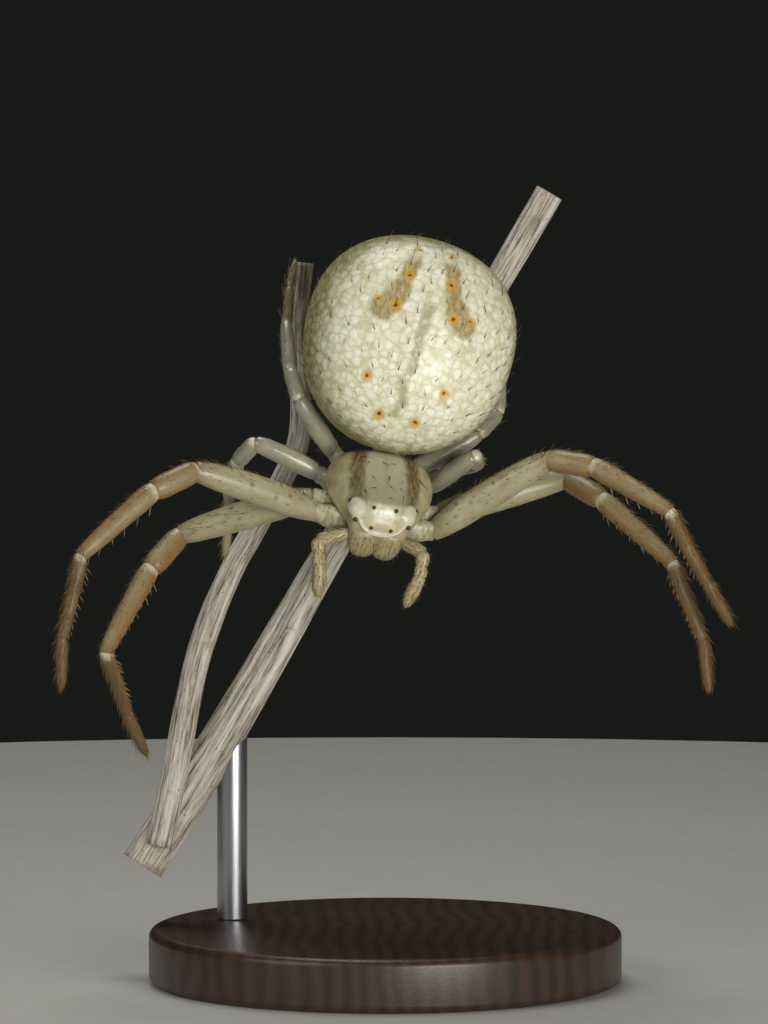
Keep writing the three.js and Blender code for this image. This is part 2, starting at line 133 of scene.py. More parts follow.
def profile(table, places):
    """Smooth reading of a two-column table at the places given."""
    rows = np.asarray(table, float)
    slope = np.gradient(rows[:, 1], rows[:, 0])
    low = np.clip(np.searchsorted(rows[:, 0], places) - 1, 0, len(rows) - 2)
    gap = rows[low + 1, 0] - rows[low, 0]
    f = np.clip((places - rows[low, 0]) / gap, 0, 1)
    before = (2 * f**3 - 3 * f**2 + 1) * rows[low, 1] + (f**3 - 2 * f**2 + f) * gap * slope[low]
    after = (3 * f**2 - 2 * f**3) * rows[low + 1, 1] + (f**3 - f**2) * gap * slope[low + 1]
    return before + after


def soft_step(values, low, high):
    """Rises smoothly from 0 at low to 1 at high."""
    f = np.clip((values - low) / (high - low), 0, 1)
    return f * f * (3 - 2 * f)


class Shell:
    """A closed lofted surface, with what its finish and its bristles read at each point.

    points: rows of rings in specimen millimetres. place: the same points in the piece's own frame.
    lie: the way the bristles point. stage: how far along a limb. grow: density and length of bristles.
    """

    def __init__(self, name, points, place, lie, stage=None, grow=None, tile=(0, 0, 1, 1)):
        self.name = name
        self.rings, self.columns = points.shape[:2]
        self.points = points
        self.place = place
        self.lie = lie
        self.stage = np.zeros(points.shape[:2]) if stage is None else stage
        self.grow = np.ones(points.shape[:2] + (2,)) if grow is None else grow
        self.tile = tile
        self.region = 0
        self.normals = self.ring_normals()

    def ring_normals(self):
        along = np.gradient(self.points, axis=0)
        ahead = np.roll(self.points, -1, axis=1) - np.roll(self.points, 1, axis=1)
        normals = unit(np.cross(ahead, along))
        outward = self.points - self.points.mean(axis=1, keepdims=True)
        if (normals * outward).sum() < 0:
            normals = -normals
        return normals

    def push(self, height):
        """Moves the surface out along its normals by a height in millimetres."""
        self.points = self.points + self.normals * height[..., None]
        self.normals = self.ring_normals()

    def faces(self):
        rings, columns = self.rings, self.columns
        column = np.arange(columns)
        following = (column + 1) % columns
        quads = []
        for ring in range(rings - 1):
            low, high = ring * columns, (ring + 1) * columns
            quads.append(np.stack([low + column, low + following, high + following, high + column], 1))
        first, last = rings * columns, rings * columns + 1
        start = np.stack([np.full(columns, first), following, column], 1)
        top = (rings - 1) * columns
        end = np.stack([np.full(columns, last), top + column, top + following], 1)
        quads = np.concatenate(quads).tolist()
        return quads + start.tolist() + end.tolist()

    def per_vertex(self, values):
        """Grid values as a list with the two pole values at its end."""
        flat = values.reshape(self.rings * self.columns, -1)
        return np.concatenate([flat, [values[0].reshape(self.columns, -1).mean(0)],
                               [values[-1].reshape(self.columns, -1).mean(0)]])

    def corner_uvs(self, faces):
        """Unwrap of the loft in its tile: around the ring is across, and along it is up."""
        left, low, wide, tall = self.tile
        uvs = []
        for face in faces:
            known = [v for v in face if v < self.rings * self.columns]
            around = [v % self.columns for v in known]
            wraps = max(around) - min(around) > 1
            for vertex in face:
                if vertex < self.rings * self.columns:
                    ring, column = divmod(vertex, self.columns)
                    column = self.columns if wraps and column == 0 else column
                else:
                    ring = 0 if vertex == self.rings * self.columns else self.rings - 1
                    column = max(around)
                uvs.append((left + wide * column / self.columns, low + tall * ring / (self.rings - 1)))
        return uvs

    def mesh(self, material):
        faces = self.faces()
        vertices = to_row(self.per_vertex(self.points))
        mesh = bpy.data.meshes.new(self.name)
        mesh.from_pydata(vertices.tolist(), [], faces)
        corners = np.array(self.corner_uvs(faces))
        if signed_volume(vertices, faces) < 0:
            mesh.flip_normals()
            corners = flipped_corners(corners, faces)
        order = np.empty(len(mesh.loops), dtype=np.int32)
        mesh.loops.foreach_get("vertex_index", order)
        put_attribute(mesh, "place", "FLOAT_VECTOR", "CORNER", self.per_vertex(self.place)[order])
        lie = turned(self.per_vertex(self.lie), SPECIMEN)
        put_attribute(mesh, "lie", "FLOAT_VECTOR", "CORNER", lie[order])
        put_attribute(mesh, "stage", "FLOAT", "CORNER", self.per_vertex(self.stage)[order])
        put_attribute(mesh, "growth", "FLOAT", "CORNER", self.per_vertex(self.grow[..., 0])[order])
        put_attribute(mesh, "reach", "FLOAT", "CORNER", self.per_vertex(self.grow[..., 1])[order])
        put_attribute(mesh, "region", "FLOAT", "CORNER", np.full(len(order), float(self.region)))
        put_attribute(mesh, "root_uv", "FLOAT2", "CORNER", corners)
        mesh.materials.append(material)
        mesh.shade_smooth()
        return mesh

    def spot(self, along, around):
        """Point, normal, lie and unwrap place nearest to a share along and a share around."""
        ring = int(round(along * (self.rings - 1)))
        column = int(round(around * self.columns)) % self.columns
        left, low, wide, tall = self.tile
        uv = (left + wide * column / self.columns, low + tall * ring / (self.rings - 1))
        at = (ring, column)
        return self.points[at], self.normals[at], self.lie[at], uv

    def nearest(self, place):
        """The same for the point nearest to a place in the piece's own frame."""
        gap = np.linalg.norm(self.place - np.asarray(place), axis=-1)
        ring, column = np.unravel_index(gap.argmin(), gap.shape)
        return self.spot(ring / (self.rings - 1), column / self.columns)


def signed_volume(vertices, faces):
    """A number whose sign tells whether the faces look out, from a sample of up to 8000 faces."""
    total = 0.0
    centre = vertices.mean(0)
    for face in faces[:: max(1, len(faces) // 4000)]:
        a, b, c = vertices[face[0]], vertices[face[1]], vertices[face[2]]
        total += np.dot(a - centre, np.cross(b - centre, c - centre))
    return total


def flipped_corners(corners, faces):
    """Corner values in the order that flip_normals gives: the first stays, the rest turn round."""
    order = []
    start = 0
    for face in faces:
        size = len(face)
        order += [start] + [start + size - step for step in range(1, size)]
        start += size
    return corners[order]


def put_attribute(mesh, name, kind, domain, values):
    attribute = mesh.attributes.new(name, kind, domain)
    field = "value" if kind in ("FLOAT", "INT") else "vector"
    attribute.data.foreach_set(field, np.ascontiguousarray(values, dtype=np.float32).ravel())


# Body lofts


def body_points(rows, columns, body):
    """Rings across the Y axis of a body. A row is y, half width, top, bottom, lift and squareness."""
    angle = np.linspace(0, 2 * math.pi, columns, endpoint=False)
    c, s = np.cos(angle), np.sin(angle)
    y, wide, top, bottom, lift, power = [rows[:, k, None] for k in range(6)]
    x = np.sign(c) * np.abs(c) ** power * wide
    z = np.sign(s) * np.abs(s) ** power * np.where(s > 0, top, bottom) + lift
    local = np.stack([x, np.broadcast_to(y, x.shape), z], -1)
    return placed(local, body), local


def constant_lie(points, direction, body):
    """The same way for every bristle, given in a body's own frame."""
    return np.broadcast_to(turned(unit(np.array(direction, float)), body), points.shape)


# Eyes in two curved rows, as places in the carapace's own frame
EYES = {
    "front_middle": (0.3, -1.64, 0.315),
    "front_side": (0.78, -1.49, 0.42),
    "rear_middle": (0.345, -1.33, 0.83),
    "rear_side": (0.955, -1.0, 0.62),
}
SIDES = (("left", 1), ("right", -1))
LOBE_CENTRE = (0.85, -1.24, 0.58)
LOBE_REACH = (0.34, 0.37, 0.36)
LOBE_HEIGHT = 0.13
RIDGE = (
    (0.0, -1.69, 0.1), (0.24, -1.68, 0.13), (0.42, -1.665, 0.2), (0.56, -1.62, 0.3), (0.66, -1.57, 0.4),
)
RIDGE_HEIGHT = 0.05
RIDGE_REACH = 0.055
EYE_COLLAR = 0.025
EYE_RISE = 0.2
SIDE_EYE_SIZE = 1.2
REAR_SIDE_SHIFT = (-0.03, 0.01, -0.045)
GROOVE_DEPTH = 0.02


def carapace_shell():
    """The shield over the head and chest, with the lobes, ridge and collars of the eyes."""
    wide = CARAPACE_HALF_WIDTH
    table = [
        (-1.69, 0.5, 0.05, 0.06, 0.0, 0.85),
        (-1.685, 0.66, 0.12, 0.12, 0.0, 0.8),
        (-1.59, 0.79, 0.45, 0.14, 0.0, 0.76),
        (-1.43, 0.9, 0.76, 0.14, 0.0, 0.76),
        (-1.2, 0.98, 0.9, 0.12, 0.0, 0.79),
        (-0.8, 0.76 * wide, 0.96, 0.13, 0.0, 0.84),
        (-0.3, 0.93 * wide, 0.98, 0.14, 0.0, 0.86),
        (0.2, wide, 0.98, 0.14, 0.0, 0.86),
        (0.65, 0.97 * wide, 0.95, 0.14, 0.0, 0.86),
        (0.95, 0.88 * wide, 0.82, 0.13, 0.0, 0.88),
        (1.3, 0.69 * wide, 0.48, 0.11, 0.0, 0.9),
        (1.55, 0.42 * wide, 0.18, 0.09, 0.0, 0.95),
        (1.57, 0.25 * wide, 0.1, 0.05, 0.0, 1.0),
    ]
    points, local = body_points(smooth_rows(table, 118), 144, PROSOMA)
    lie = constant_lie(points, (0, -0.9, 0.2), PROSOMA)
    shell = Shell("carapace_shell", points, local, lie, grow=np.zeros(points.shape[:2] + (2,)))
    folded = np.stack([np.abs(local[..., 0]), local[..., 1], local[..., 2]], -1)
    reach = np.linalg.norm((folded - LOBE_CENTRE) / LOBE_REACH, axis=-1)
    height = LOBE_HEIGHT * np.clip(1.05 - reach, 0, 0.8) / 0.8
    height += RIDGE_HEIGHT * ridge_mask(folded)
    for place in EYES.values():
        gap = np.linalg.norm(folded - place, axis=-1)
        height += EYE_COLLAR * (1 - soft_step(gap, 0.06, 0.12))
    groove = np.abs(folded[..., 0] - (0.42 - 0.18 * local[..., 1]))
    on_top = soft_step(local[..., 2], 0.5, 0.8) * soft_step(-local[..., 1], -0.6, 0.3)
    height -= GROOVE_DEPTH * (1 - soft_step(groove, 0.02, 0.14)) * on_top
    shell.push(height)
    return shell


def ridge_mask(folded):
    """How much a point lies on the pale ridge under the front eyes, from 0 to 1."""
    gap = np.full(folded.shape[:2], 9.0)
    for start, end in zip(RIDGE, RIDGE[1:]):
        start, end = np.array(start), np.array(end)
        run = end - start
        share = np.clip(((folded - start) @ run) / (run @ run), 0, 1)
        gap = np.minimum(gap, np.linalg.norm(folded - start - share[..., None] * run, axis=-1))
    return 1 - soft_step(gap, RIDGE_REACH * 0.4, RIDGE_REACH * 1.7)


STERNUM_LIFT = -0.55
STERNUM_HOLLOW = 0.04


def sternum_shell():
    """The plate under the body, a little hollow along its middle."""
    table = [
        (-1.46, 0.2, 0.1, 0.12, STERNUM_LIFT, 0.9),
        (-1.34, 0.47, 0.27, 0.31, STERNUM_LIFT, 0.9),
        (-1.0, 0.53, 0.31, 0.39, STERNUM_LIFT, 0.9),
        (-0.7, 0.67, 0.33, 0.37, STERNUM_LIFT, 0.9),
        (0.0, 0.81, 0.33, 0.39, STERNUM_LIFT, 0.9),
        (0.7, 0.71, 0.33, 0.35, STERNUM_LIFT, 0.9),
        (1.27, 0.35, 0.25, 0.24, STERNUM_LIFT, 0.9),
    ]
    points, local = body_points(smooth_rows(table, 44), 48, PROSOMA)
    lie = constant_lie(points, (0, 1, -0.1), PROSOMA)
    grow = np.ones(points.shape[:2] + (2,)) * (0.4, 0.7)
    shell = Shell("sternum_shell", points, local, lie, grow=grow, tile=(0, 0.8, 0.2, 0.2))
    middle = np.abs(local[..., 0])
    shell.push(-STERNUM_HOLLOW * (1 - soft_step(middle, 0.0, 0.5)) * soft_step(-local[..., 2], 0.8, 0.92))
    return shell


# Pits on the back, in mirrored pairs: half gap, place along, width of the pit
PITS = (
    (0.54, -2.5, 0.1), (1.17, -1.55, 0.11), (0.86, 0.64, 0.1),
    (1.44, 0.73, 0.07), (0.63, 1.65, 0.1), (0.49, 2.58, 0.07),
)
PIT_DEPTH = 0.05
FOLD_DEPTH = 0.012


def abdomen_shell():
    """The round abdomen, with pits on its back and fine folds across its front end."""
    steps = 112
    along = -np.cos(np.linspace(0, math.pi, steps))
    reach = np.maximum(0.02, (1 - np.abs(along) ** 2.3) ** (1 / 2.1))
    rows = np.stack([
        along * ABDOMEN_LENGTH / 2,
        reach * (1 + 0.05 * along) * ABDOMEN_WIDTH * 0.49,
        reach * ABDOMEN_DEPTH / 2,
        reach * ABDOMEN_DEPTH / 2,
        np.zeros(steps),
        np.full(steps, 0.94),
    ], 1)
    points, local = body_points(rows, 180, ABDOMEN)
    lie = constant_lie(points, (0, 1, 0.05), ABDOMEN)
    bare = np.hypot(local[..., 0], local[..., 2]) < 0.5
    grow = np.stack([np.where(bare, 0.0, 1.0), np.ones(bare.shape)], -1)
    shell = Shell("abdomen_shell", points, local, lie, grow=grow)
    height = np.zeros(bare.shape)
    for gap, place, width in PITS:
        from_pit = np.hypot(np.abs(local[..., 0]) - gap, local[..., 1] - place)
        height -= PIT_DEPTH * (1 - soft_step(from_pit, 0, width)) * (local[..., 2] > 0)
    front = soft_step(-local[..., 1], 2.3, 3.1)
    height -= FOLD_DEPTH * front * (0.5 + 0.5 * np.sin(local[..., 0] * 14))
    shell.push(height)
    return shell


# Limb lofts


def direction(heading, lean):
    """Unit vector at a heading in the picture's plane, that leans towards the viewer, in degrees."""
    h, e = math.radians(heading), math.radians(lean)
    return np.array([math.cos(h) * math.cos(e), -math.sin(e), math.sin(h) * math.cos(e)])


def chain(start, lengths, turns):
    """The joints of a limb, from its start and the length and turn of each of its parts."""
    joints = [np.array(start, float)]
    for length, turn in zip(lengths, turns):
        joints.append(joints[-1] + direction(*turn) * length)
    return joints


# Half widths of each length of a leg, as pairs of share along and millimetres, without bristles
FRONT_LEG = {
    "coxa": ((0, 0.24), (0.3, 0.29), (0.72, 0.28), (0.8, 0.24), (0.88, 0.27), (1, 0.22)),
    "femur": ((0, 0.24), (0.04, 0.3), (0.17, 0.4), (0.43, 0.44), (0.72, 0.41), (0.92, 0.335), (1, 0.27)),
    "patella": ((0, 0.23), (0.1, 0.3), (0.5, 0.35), (0.88, 0.32), (1, 0.26)),
    "tibia": ((0, 0.24), (0.07, 0.29), (0.4, 0.3), (0.85, 0.245), (1, 0.2)),
    "metatarsus": ((0, 0.17), (0.08, 0.2), (0.5, 0.19), (0.9, 0.165), (1, 0.14)),
    "tarsus": ((0, 0.13), (0.12, 0.16), (0.55, 0.155), (0.88, 0.12), (1, 0.07)),
}
REAR_LEG = {
    "coxa": ((0, 0.22), (0.3, 0.26), (0.72, 0.25), (0.8, 0.215), (0.88, 0.24), (1, 0.19)),
    "femur": ((0, 0.18), (0.05, 0.23), (0.28, 0.3), (0.66, 0.29), (0.92, 0.245), (1, 0.2)),
    "patella": ((0, 0.18), (0.12, 0.23), (0.5, 0.25), (0.9, 0.23), (1, 0.19)),
    "tibia": ((0, 0.18), (0.1, 0.22), (0.5, 0.225), (0.9, 0.19), (1, 0.16)),
    "metatarsus": ((0, 0.13), (0.1, 0.155), (0.5, 0.15), (0.9, 0.135), (1, 0.11)),
    "tarsus": ((0, 0.1), (0.12, 0.125), (0.5, 0.12), (0.85, 0.095), (1, 0.05)),
}
ARTICLES = ("coxa", "femur", "patella", "tibia", "metatarsus", "tarsus")
LEG_LENGTHS = {
    1: (4.1, 1.5, 3.0, 2.45, 1.5),
    2: (4.1, 1.5, 3.0, 2.45, 1.5),
    3: (2.1, 1.0, 1.5, 1.1, 0.85),
    4: (2.16, 1.0, 1.8, 1.2, 0.85),
}
LEG_ROOTS = {1: (0.8, -0.72, -0.55), 2: (0.85, -0.1, -0.55), 3: (0.8, 0.5, -0.55), 4: (0.55, 1.02, -0.55)}

# Each leg: side, pair, hip in the carapace's frame, and heading and lean of its five lengths
LEGS = (
    ("left", 1, (1.8, -0.56, -0.55), ((32, 14), (-9, 27), (-31, 32), (-62, -16), (-60, -18))),
    ("left", 2, (1.9, 0.1, -0.55), ((16, -13), (-32, 37), (-42, 23), (-68, 0), (-84, 3))),
    ("left", 3, (1.7, 1.2, -0.55), ((35, 41), (-66, -75), (-165, -53), (176, -32), (144, -8))),
    ("left", 4, (1.22, 1.88, -0.55), ((28, -2), (48, -34), (89, -16), (109, -1), (72, 0))),
    ("right", 1, (-1.8, -0.56, -0.55), ((161, 26), (-154, 26), (-138, 20), (-103, -2), (-91, -6))),
    ("right", 2, (-1.9, 0.0, -0.55), ((-164, -11), (-131, 28), (-118, 23), (-72, -38), (-65, -28))),
    ("right", 3, (-1.7, 1.0, -0.55), ((154, 10), (-133, -42), (-105, -43), (-93, -28), (-94, -21))),
    ("right", 4, (-1.22, 1.95, -0.55), ((123, 28), (107, -33), (95, -37), (85, -27), (78, -19))),
)
COXA_LENGTH = 1.2
COXA_HEIGHT = 1.3
LEG_BOWS = {"femur": 0.05, "tibia": 0.02, "metatarsus": -0.03}
LEG_STRIP = 0.115
RING_GAP = 0.085
LEG_COLUMNS = 22
END_SHRINK = 0.55


def limb_shell(name, start, end, half, side, number, travelled, tile, flat=0.93, bow=0.0, tall=1.0):
    """One length of a limb. number is its place in the limb, and travelled the millimetres before it."""
    length = np.linalg.norm(end - start)
    along = (end - start) / length
    across = unit(side - along * (side @ along))
    upward = np.cross(along, across)
    rings = max(10, int(length / RING_GAP))
    share = np.linspace(0, 1, rings)
    eased = share - 0.04 * np.sin(2 * math.pi * share)
    radius = profile(half, eased)
    past = min(0.12, 0.5 * half[0][1])
    reach = -past + eased * (length + 1.6 * past)
    angle = np.linspace(0, 2 * math.pi, LEG_COLUMNS, endpoint=False)
    offset = (radius[:, None] * flat * np.cos(angle))[..., None] * across
    offset = offset + (radius[:, None] * tall * np.sin(angle))[..., None] * upward
    spine = start + reach[:, None] * along + (bow * np.sin(math.pi * share))[:, None] * upward
    points = spine[:, None, :] + offset
    place = np.stack([
        np.broadcast_to(radius[:, None] * np.cos(angle), points.shape[:2]),
        np.broadcast_to((travelled + reach)[:, None], points.shape[:2]),
        np.broadcast_to(radius[:, None] * np.sin(angle), points.shape[:2]),
    ], -1)
    stage = np.broadcast_to((number + eased)[:, None], points.shape[:2])
    lie = np.broadcast_to(along, points.shape)
    rounded = points.copy()
    for ring in (0, -1):
        rounded[ring] = spine[ring] + (points[ring] - spine[ring]) * END_SHRINK
    return Shell(name, rounded, place, lie, stage, tile=tile)


# How many bristles each length of a leg bears, and how long they are, as shares of the most
BRISTLE_SHARES = {
    "coxa": (0.02, 0.6),
    "femur": (0.1, 0.75),
    "patella": (0.14, 0.7),
    "tibia": (0.2, 0.7),
    "metatarsus": (0.75, 0.85),
    "tarsus": (1.0, 0.8),
}


def inner_side(leg):
    """Direction that the inside of a leg's bend looks in."""
    pair, hip, turns = leg[1:]
    joints = chain(placed(hip, PROSOMA), LEG_LENGTHS[pair], turns)
    straight = (joints[0] + joints[5]) / 2
    return unit(straight - (joints[2] + joints[3]) / 2)


def leg_growth(shell, article, outer, pair):
    """Bristles are longer and closer along the outer edge of a leg, and few on the hind legs."""
    share, reach = BRISTLE_SHARES[article]
    along = unit(shell.points[-1].mean(0) - shell.points[0].mean(0))
    outer = unit(outer - along * (outer @ along))
    edge = soft_step(shell.normals @ outer, 0.45, 0.9)
    many = share * (1 if pair < 3 else 0.5) * (1 + 1.2 * edge)
    long = reach * (1 + 0.5 * edge)
    return np.stack([np.minimum(many, 1), long], -1)


def leg_shells(leg):
    """The coxa and the five lengths of one leg."""
    side_name, pair, hip, turns = leg
    mirror = 1 if side_name == "left" else -1
    root = LEG_ROOTS[pair]
    joints = chain(placed(hip, PROSOMA), LEG_LENGTHS[pair], turns)
    joints.insert(0, placed((mirror * root[0], root[1], root[2]), PROSOMA))
    side = unit(np.cross(joints[2] - joints[1], joints[4] - joints[2]))
    outer = -inner_side(leg)
    backward = turned((0, 1, 0), PROSOMA)
    table = FRONT_LEG if pair < 3 else REAR_LEG
    whole = sum(LEG_LENGTHS[pair]) + COXA_LENGTH
    strip = LEGS.index(leg) / len(LEGS)
    shells = []
    travelled = -COXA_LENGTH
    for number, article in enumerate(ARTICLES):
        start, end = joints[number], joints[number + 1]
        length = np.linalg.norm(end - start)
        tile = (strip, (travelled + COXA_LENGTH) / whole * 0.95, LEG_STRIP, length / whole * 0.95)
        hinge = backward if article == "coxa" else side
        bow = LEG_BOWS.get(article, 0.0)
        tall = COXA_HEIGHT if article == "coxa" else 1.0
        name = f"{side_name}_{pair}_{article}"
        shell = limb_shell(
            name, start, end, table[article], hinge, number, travelled, tile, bow=bow, tall=tall
        )
        shell.grow = leg_growth(shell, article, outer, pair)
        shells.append(shell)
        travelled += length
    return shells


# Each palp: side, root in the carapace's frame, and heading and lean of its three lengths
PALPS = (
    ("left", (0.74, -1.3, -0.4), ((-28, 38), (-98, 10), (-117, -6))),
    ("right", (-0.74, -1.3, -0.4), ((-167, 6), (-86, 8), (-93, -6))),
)
PALP_LENGTHS = (1.0, 0.72, 0.95)
PALP_WIDTHS = (
    ((0, 0.14), (0.15, 0.18), (0.6, 0.2), (0.92, 0.18), (1, 0.15)),
    ((0, 0.14), (0.15, 0.19), (0.5, 0.18), (0.55, 0.165), (0.65, 0.19), (1, 0.17)),
    ((0, 0.16), (0.2, 0.19), (0.6, 0.2), (0.88, 0.13), (1, 0.06)),
)
JAW_TOP = (0.38, -1.42, 0.02)
JAW_END = (0.32, -1.5, -0.9)
JAW_DEPTH = 0.78
JAW_WIDTHS = ((0, 0.38), (0.15, 0.45), (0.5, 0.45), (0.8, 0.4), (0.94, 0.31), (1, 0.2))
FANG_START = (0.33, -1.48, -0.94)
FANG_END = (0.08, -1.31, -1.09)
FANG_SAG = 0.07
FANG_WIDTHS = ((0, 0.08), (0.3, 0.075), (0.7, 0.045), (1, 0.01))


def palp_shells():
    """The two palps, each in three lengths."""
    shells = []
    for row, (side_name, root, turns) in enumerate(PALPS):
        joints = chain(placed(root, PROSOMA), PALP_LENGTHS, turns)
        travelled = 0
        for number, half in enumerate(PALP_WIDTHS):
            start, end = joints[number], joints[number + 1]
            tile = (0.3 + 0.12 * row, 0.33 * number, 0.1, 0.3)
            name = f"palp_{side_name}_{number}"
            side = np.array([0.0, 1.0, 0.0])
            shells.append(limb_shell(name, start, end, half, side, 2 + number, travelled, tile))
            travelled += PALP_LENGTHS[number]
    return shells


def mirrored(place, mirror):
    """A place of the animal's left side, or its mirror image where mirror is -1."""
    return (mirror * place[0], place[1], place[2])


def jaw_shells():
    """The two jaws, which hang from the front end of the carapace."""
    shells = []
    across = turned((1, 0, 0), PROSOMA)
    for side_name, mirror in SIDES:
        start = placed(mirrored(JAW_TOP, mirror), PROSOMA)
        end = placed(mirrored(JAW_END, mirror), PROSOMA)
        tile = (0.6 if mirror > 0 else 0.8, 0, 0.15, 0.5)
        name = f"jaw_{side_name}"
        shells.append(limb_shell(name, start, end, JAW_WIDTHS, across, 1, 0, tile, flat=1.0, tall=JAW_DEPTH))
    return shells


def waist_shell():
    """The narrow joint between the chest and the abdomen."""
    start = placed((0, 1.35, -0.12), PROSOMA)
    end = placed((0, -2.4, -1.2), ABDOMEN)
    half = ((0, 0.22), (0.3, 0.22), (0.7, 0.3), (1, 0.4))
    side = np.array([1.0, 0.0, 0.0])
    return limb_shell("waist", start, end, half, side, 0, 0, (0.9, 0.9, 0.05, 0.05))


# Spinnerets in mirrored pairs: half gap, drop and length
SPINNERETS = ((0.18, 0, 0.4), (0.11, -0.14, 0.28), (0.18, -0.3, 0.42))
SPINNERET_BASE = (0, 0.455 * ABDOMEN_LENGTH, -1.0)
SPINNERET_WIDTHS = ((0, 0.12), (0.3, 0.14), (0.55, 0.12), (0.62, 0.1), (0.9, 0.075), (1, 0.05))


def spinneret_shells():
    """Three pairs of short spinnerets at the hind end of the abdomen."""
    shells = []
    side = turned((1, 0, 0), ABDOMEN)
    tile = (0.9, 0.8, 0.05, 0.05)
    for across, drop, length in SPINNERETS:
        for side_name, mirror in SIDES:
            start = np.array(SPINNERET_BASE) + (mirror * across, -0.2, drop)
            end = start + (mirror * 0.05, 0.2 + length * 0.8, 0)
            name = f"spinneret_{side_name}_{length}"
            ends = placed([start, end], ABDOMEN)
            shells.append(limb_shell(name, *ends, SPINNERET_WIDTHS, side, 3, 0, tile))
    return shells


# Nodes that are written as Python expressions


class Wire:
    """A node's output that Python's own operators work on."""

    def __init__(self, shop, socket):
        self.shop = shop
        self.socket = socket

    def math(self, operation, *values):
        """Result of a Math node on this wire and the values after it."""
        return self.shop.node("ShaderNodeMath", {"operation": operation}, dict(enumerate((self, *values))))

    def __add__(self, other):
        return self.math("ADD", other)

    __radd__ = __add__

    def __mul__(self, other):
        return self.math("MULTIPLY", other)

    __rmul__ = __mul__

    def __sub__(self, other):
        return self.math("SUBTRACT", other)

    def __rsub__(self, other):
        return self.shop.node("ShaderNodeMath", {"operation": "SUBTRACT"}, {0: other, 1: self})

    def __truediv__(self, other):
        return self.math("DIVIDE", other)

    def __abs__(self):
        return self.math("ABSOLUTE")

    def step(self, low, high):
        """Rises smoothly from 0 at low to 1 at high, or falls where low is the larger."""
        values = {0: self, 1: low, 2: high, 3: 0.0, 4: 1.0}
        return self.shop.node("ShaderNodeMapRange", {"interpolation_type": "SMOOTHSTEP"}, values)

    def vector(self, operation, other=(0, 0, 0), output=0):
        return self.shop.node("ShaderNodeVectorMath", {"operation": operation}, {0: self, 1: other}, output)

    def scaled(self, factor):
        return self.shop.node("ShaderNodeVectorMath", {"operation": "SCALE"}, {0: self, "Scale": factor})


class Shop:
    """Adds nodes to one tree."""

    def __init__(self, tree):
        self.tree = tree

    def node(self, kind, settings=None, inputs=None, output=0):
        """Makes a node, sets its settings and then its sockets, and gives one of its outputs."""
        made = self.tree.nodes.new(kind)
        for name, value in (settings or {}).items():
            if name == "stops":
                self.put_stops(made.color_ramp, value)
            else:
                setattr(made, name, value)
        for name, value in (inputs or {}).items():
            if isinstance(value, Wire):
                self.tree.links.new(value.socket, made.inputs[name])
            elif value is not None:
                made.inputs[name].default_value = value
        return Wire(self, made.outputs[output])

    @staticmethod
    def put_stops(ramp, stops):
        ramp.interpolation = "EASE"
        while len(ramp.elements) < len(stops):
            ramp.elements.new(1.0)
        for element, (place, colour) in zip(ramp.elements, stops):
            element.position = place
            element.color = colour

    def attribute(self, name, output="Vector"):
        """What the skin's points carry under a name."""
        return self.node("ShaderNodeAttribute", {"attribute_name": name}, output=output)

    def object_place(self):
        """Place on the finished object, in millimetres."""
        return self.node("ShaderNodeTexCoord", output="Object").scaled(1 / MM)

    def split(self, vector):
        made = self.node("ShaderNodeSeparateXYZ", None, {0: vector}).socket.node
        return [Wire(self, socket) for socket in made.outputs]

    def joined(self, x, y, z):
        return self.node("ShaderNodeCombineXYZ", None, {0: x, 1: y, 2: z})

    def noise(self, vector, scale, detail=3.0, rough=0.55, output=0):
        values = {"Vector": vector, "Scale": scale, "Detail": detail, "Roughness": rough}
        return self.node("ShaderNodeTexNoise", None, values, output)

    def cells(self, vector, scale, feature="F1", output="Distance", loose=1.0):
        values = {"Vector": vector, "Scale": scale, "Randomness": loose}
        return self.node("ShaderNodeTexVoronoi", {"feature": feature}, values, output)

    def blend(self, factor, low, high):
        """Colour that goes from low to high as the factor goes from 0 to 1."""
        return self.node("ShaderNodeMix", {"data_type": "RGBA"}, {0: factor, 6: low, 7: high}, 2)

    def ramp(self, factor, stops):
        return self.node("ShaderNodeValToRGB", {"stops": stops}, {0: factor})

    def bump(self, height, depth, strength=1.0):
        """Normal of a height from 0 to 1 that stands for a depth in millimetres."""
        values = {"Strength": strength, "Distance": depth * MM, "Height": height}
        return self.node("ShaderNodeBump", None, values)


def paint(red, green, blue):
    """Colour as a screen shows it, from 0 to 255, as the four numbers that a socket takes."""
    screen = [channel / 255 for channel in (red, green, blue)]
    light = [c / 12.92 if c <= 0.04045 else ((c + 0.055) / 1.055) ** 2.4 for c in screen]
    return (*light, 1.0)


def new_finish(name, roughness=0.5, **constants):
    """Material with a Principled shader, and the shop that adds nodes to it."""
    material = bpy.data.materials.new(name)
    material.use_nodes = True
    shader = material.node_tree.nodes["Principled BSDF"]
    shader.inputs["Roughness"].default_value = roughness
    for socket, value in constants.items():
        shader.inputs[socket.replace("_", " ")].default_value = value
    return material, Shop(material.node_tree), shader


def feed(shop, shader, **wires):
    """Joins wires to the shader's sockets, which are named with low lines for spaces."""
    for name, wire in wires.items():
        shop.tree.links.new(wire.socket, shader.inputs[name.replace("_", " ")])


# Finishes of the body

WAXY = {"Subsurface_Weight": 0.35, "Subsurface_Scale": 0.00025, "Subsurface_Radius": (0.9, 0.8, 0.55)}


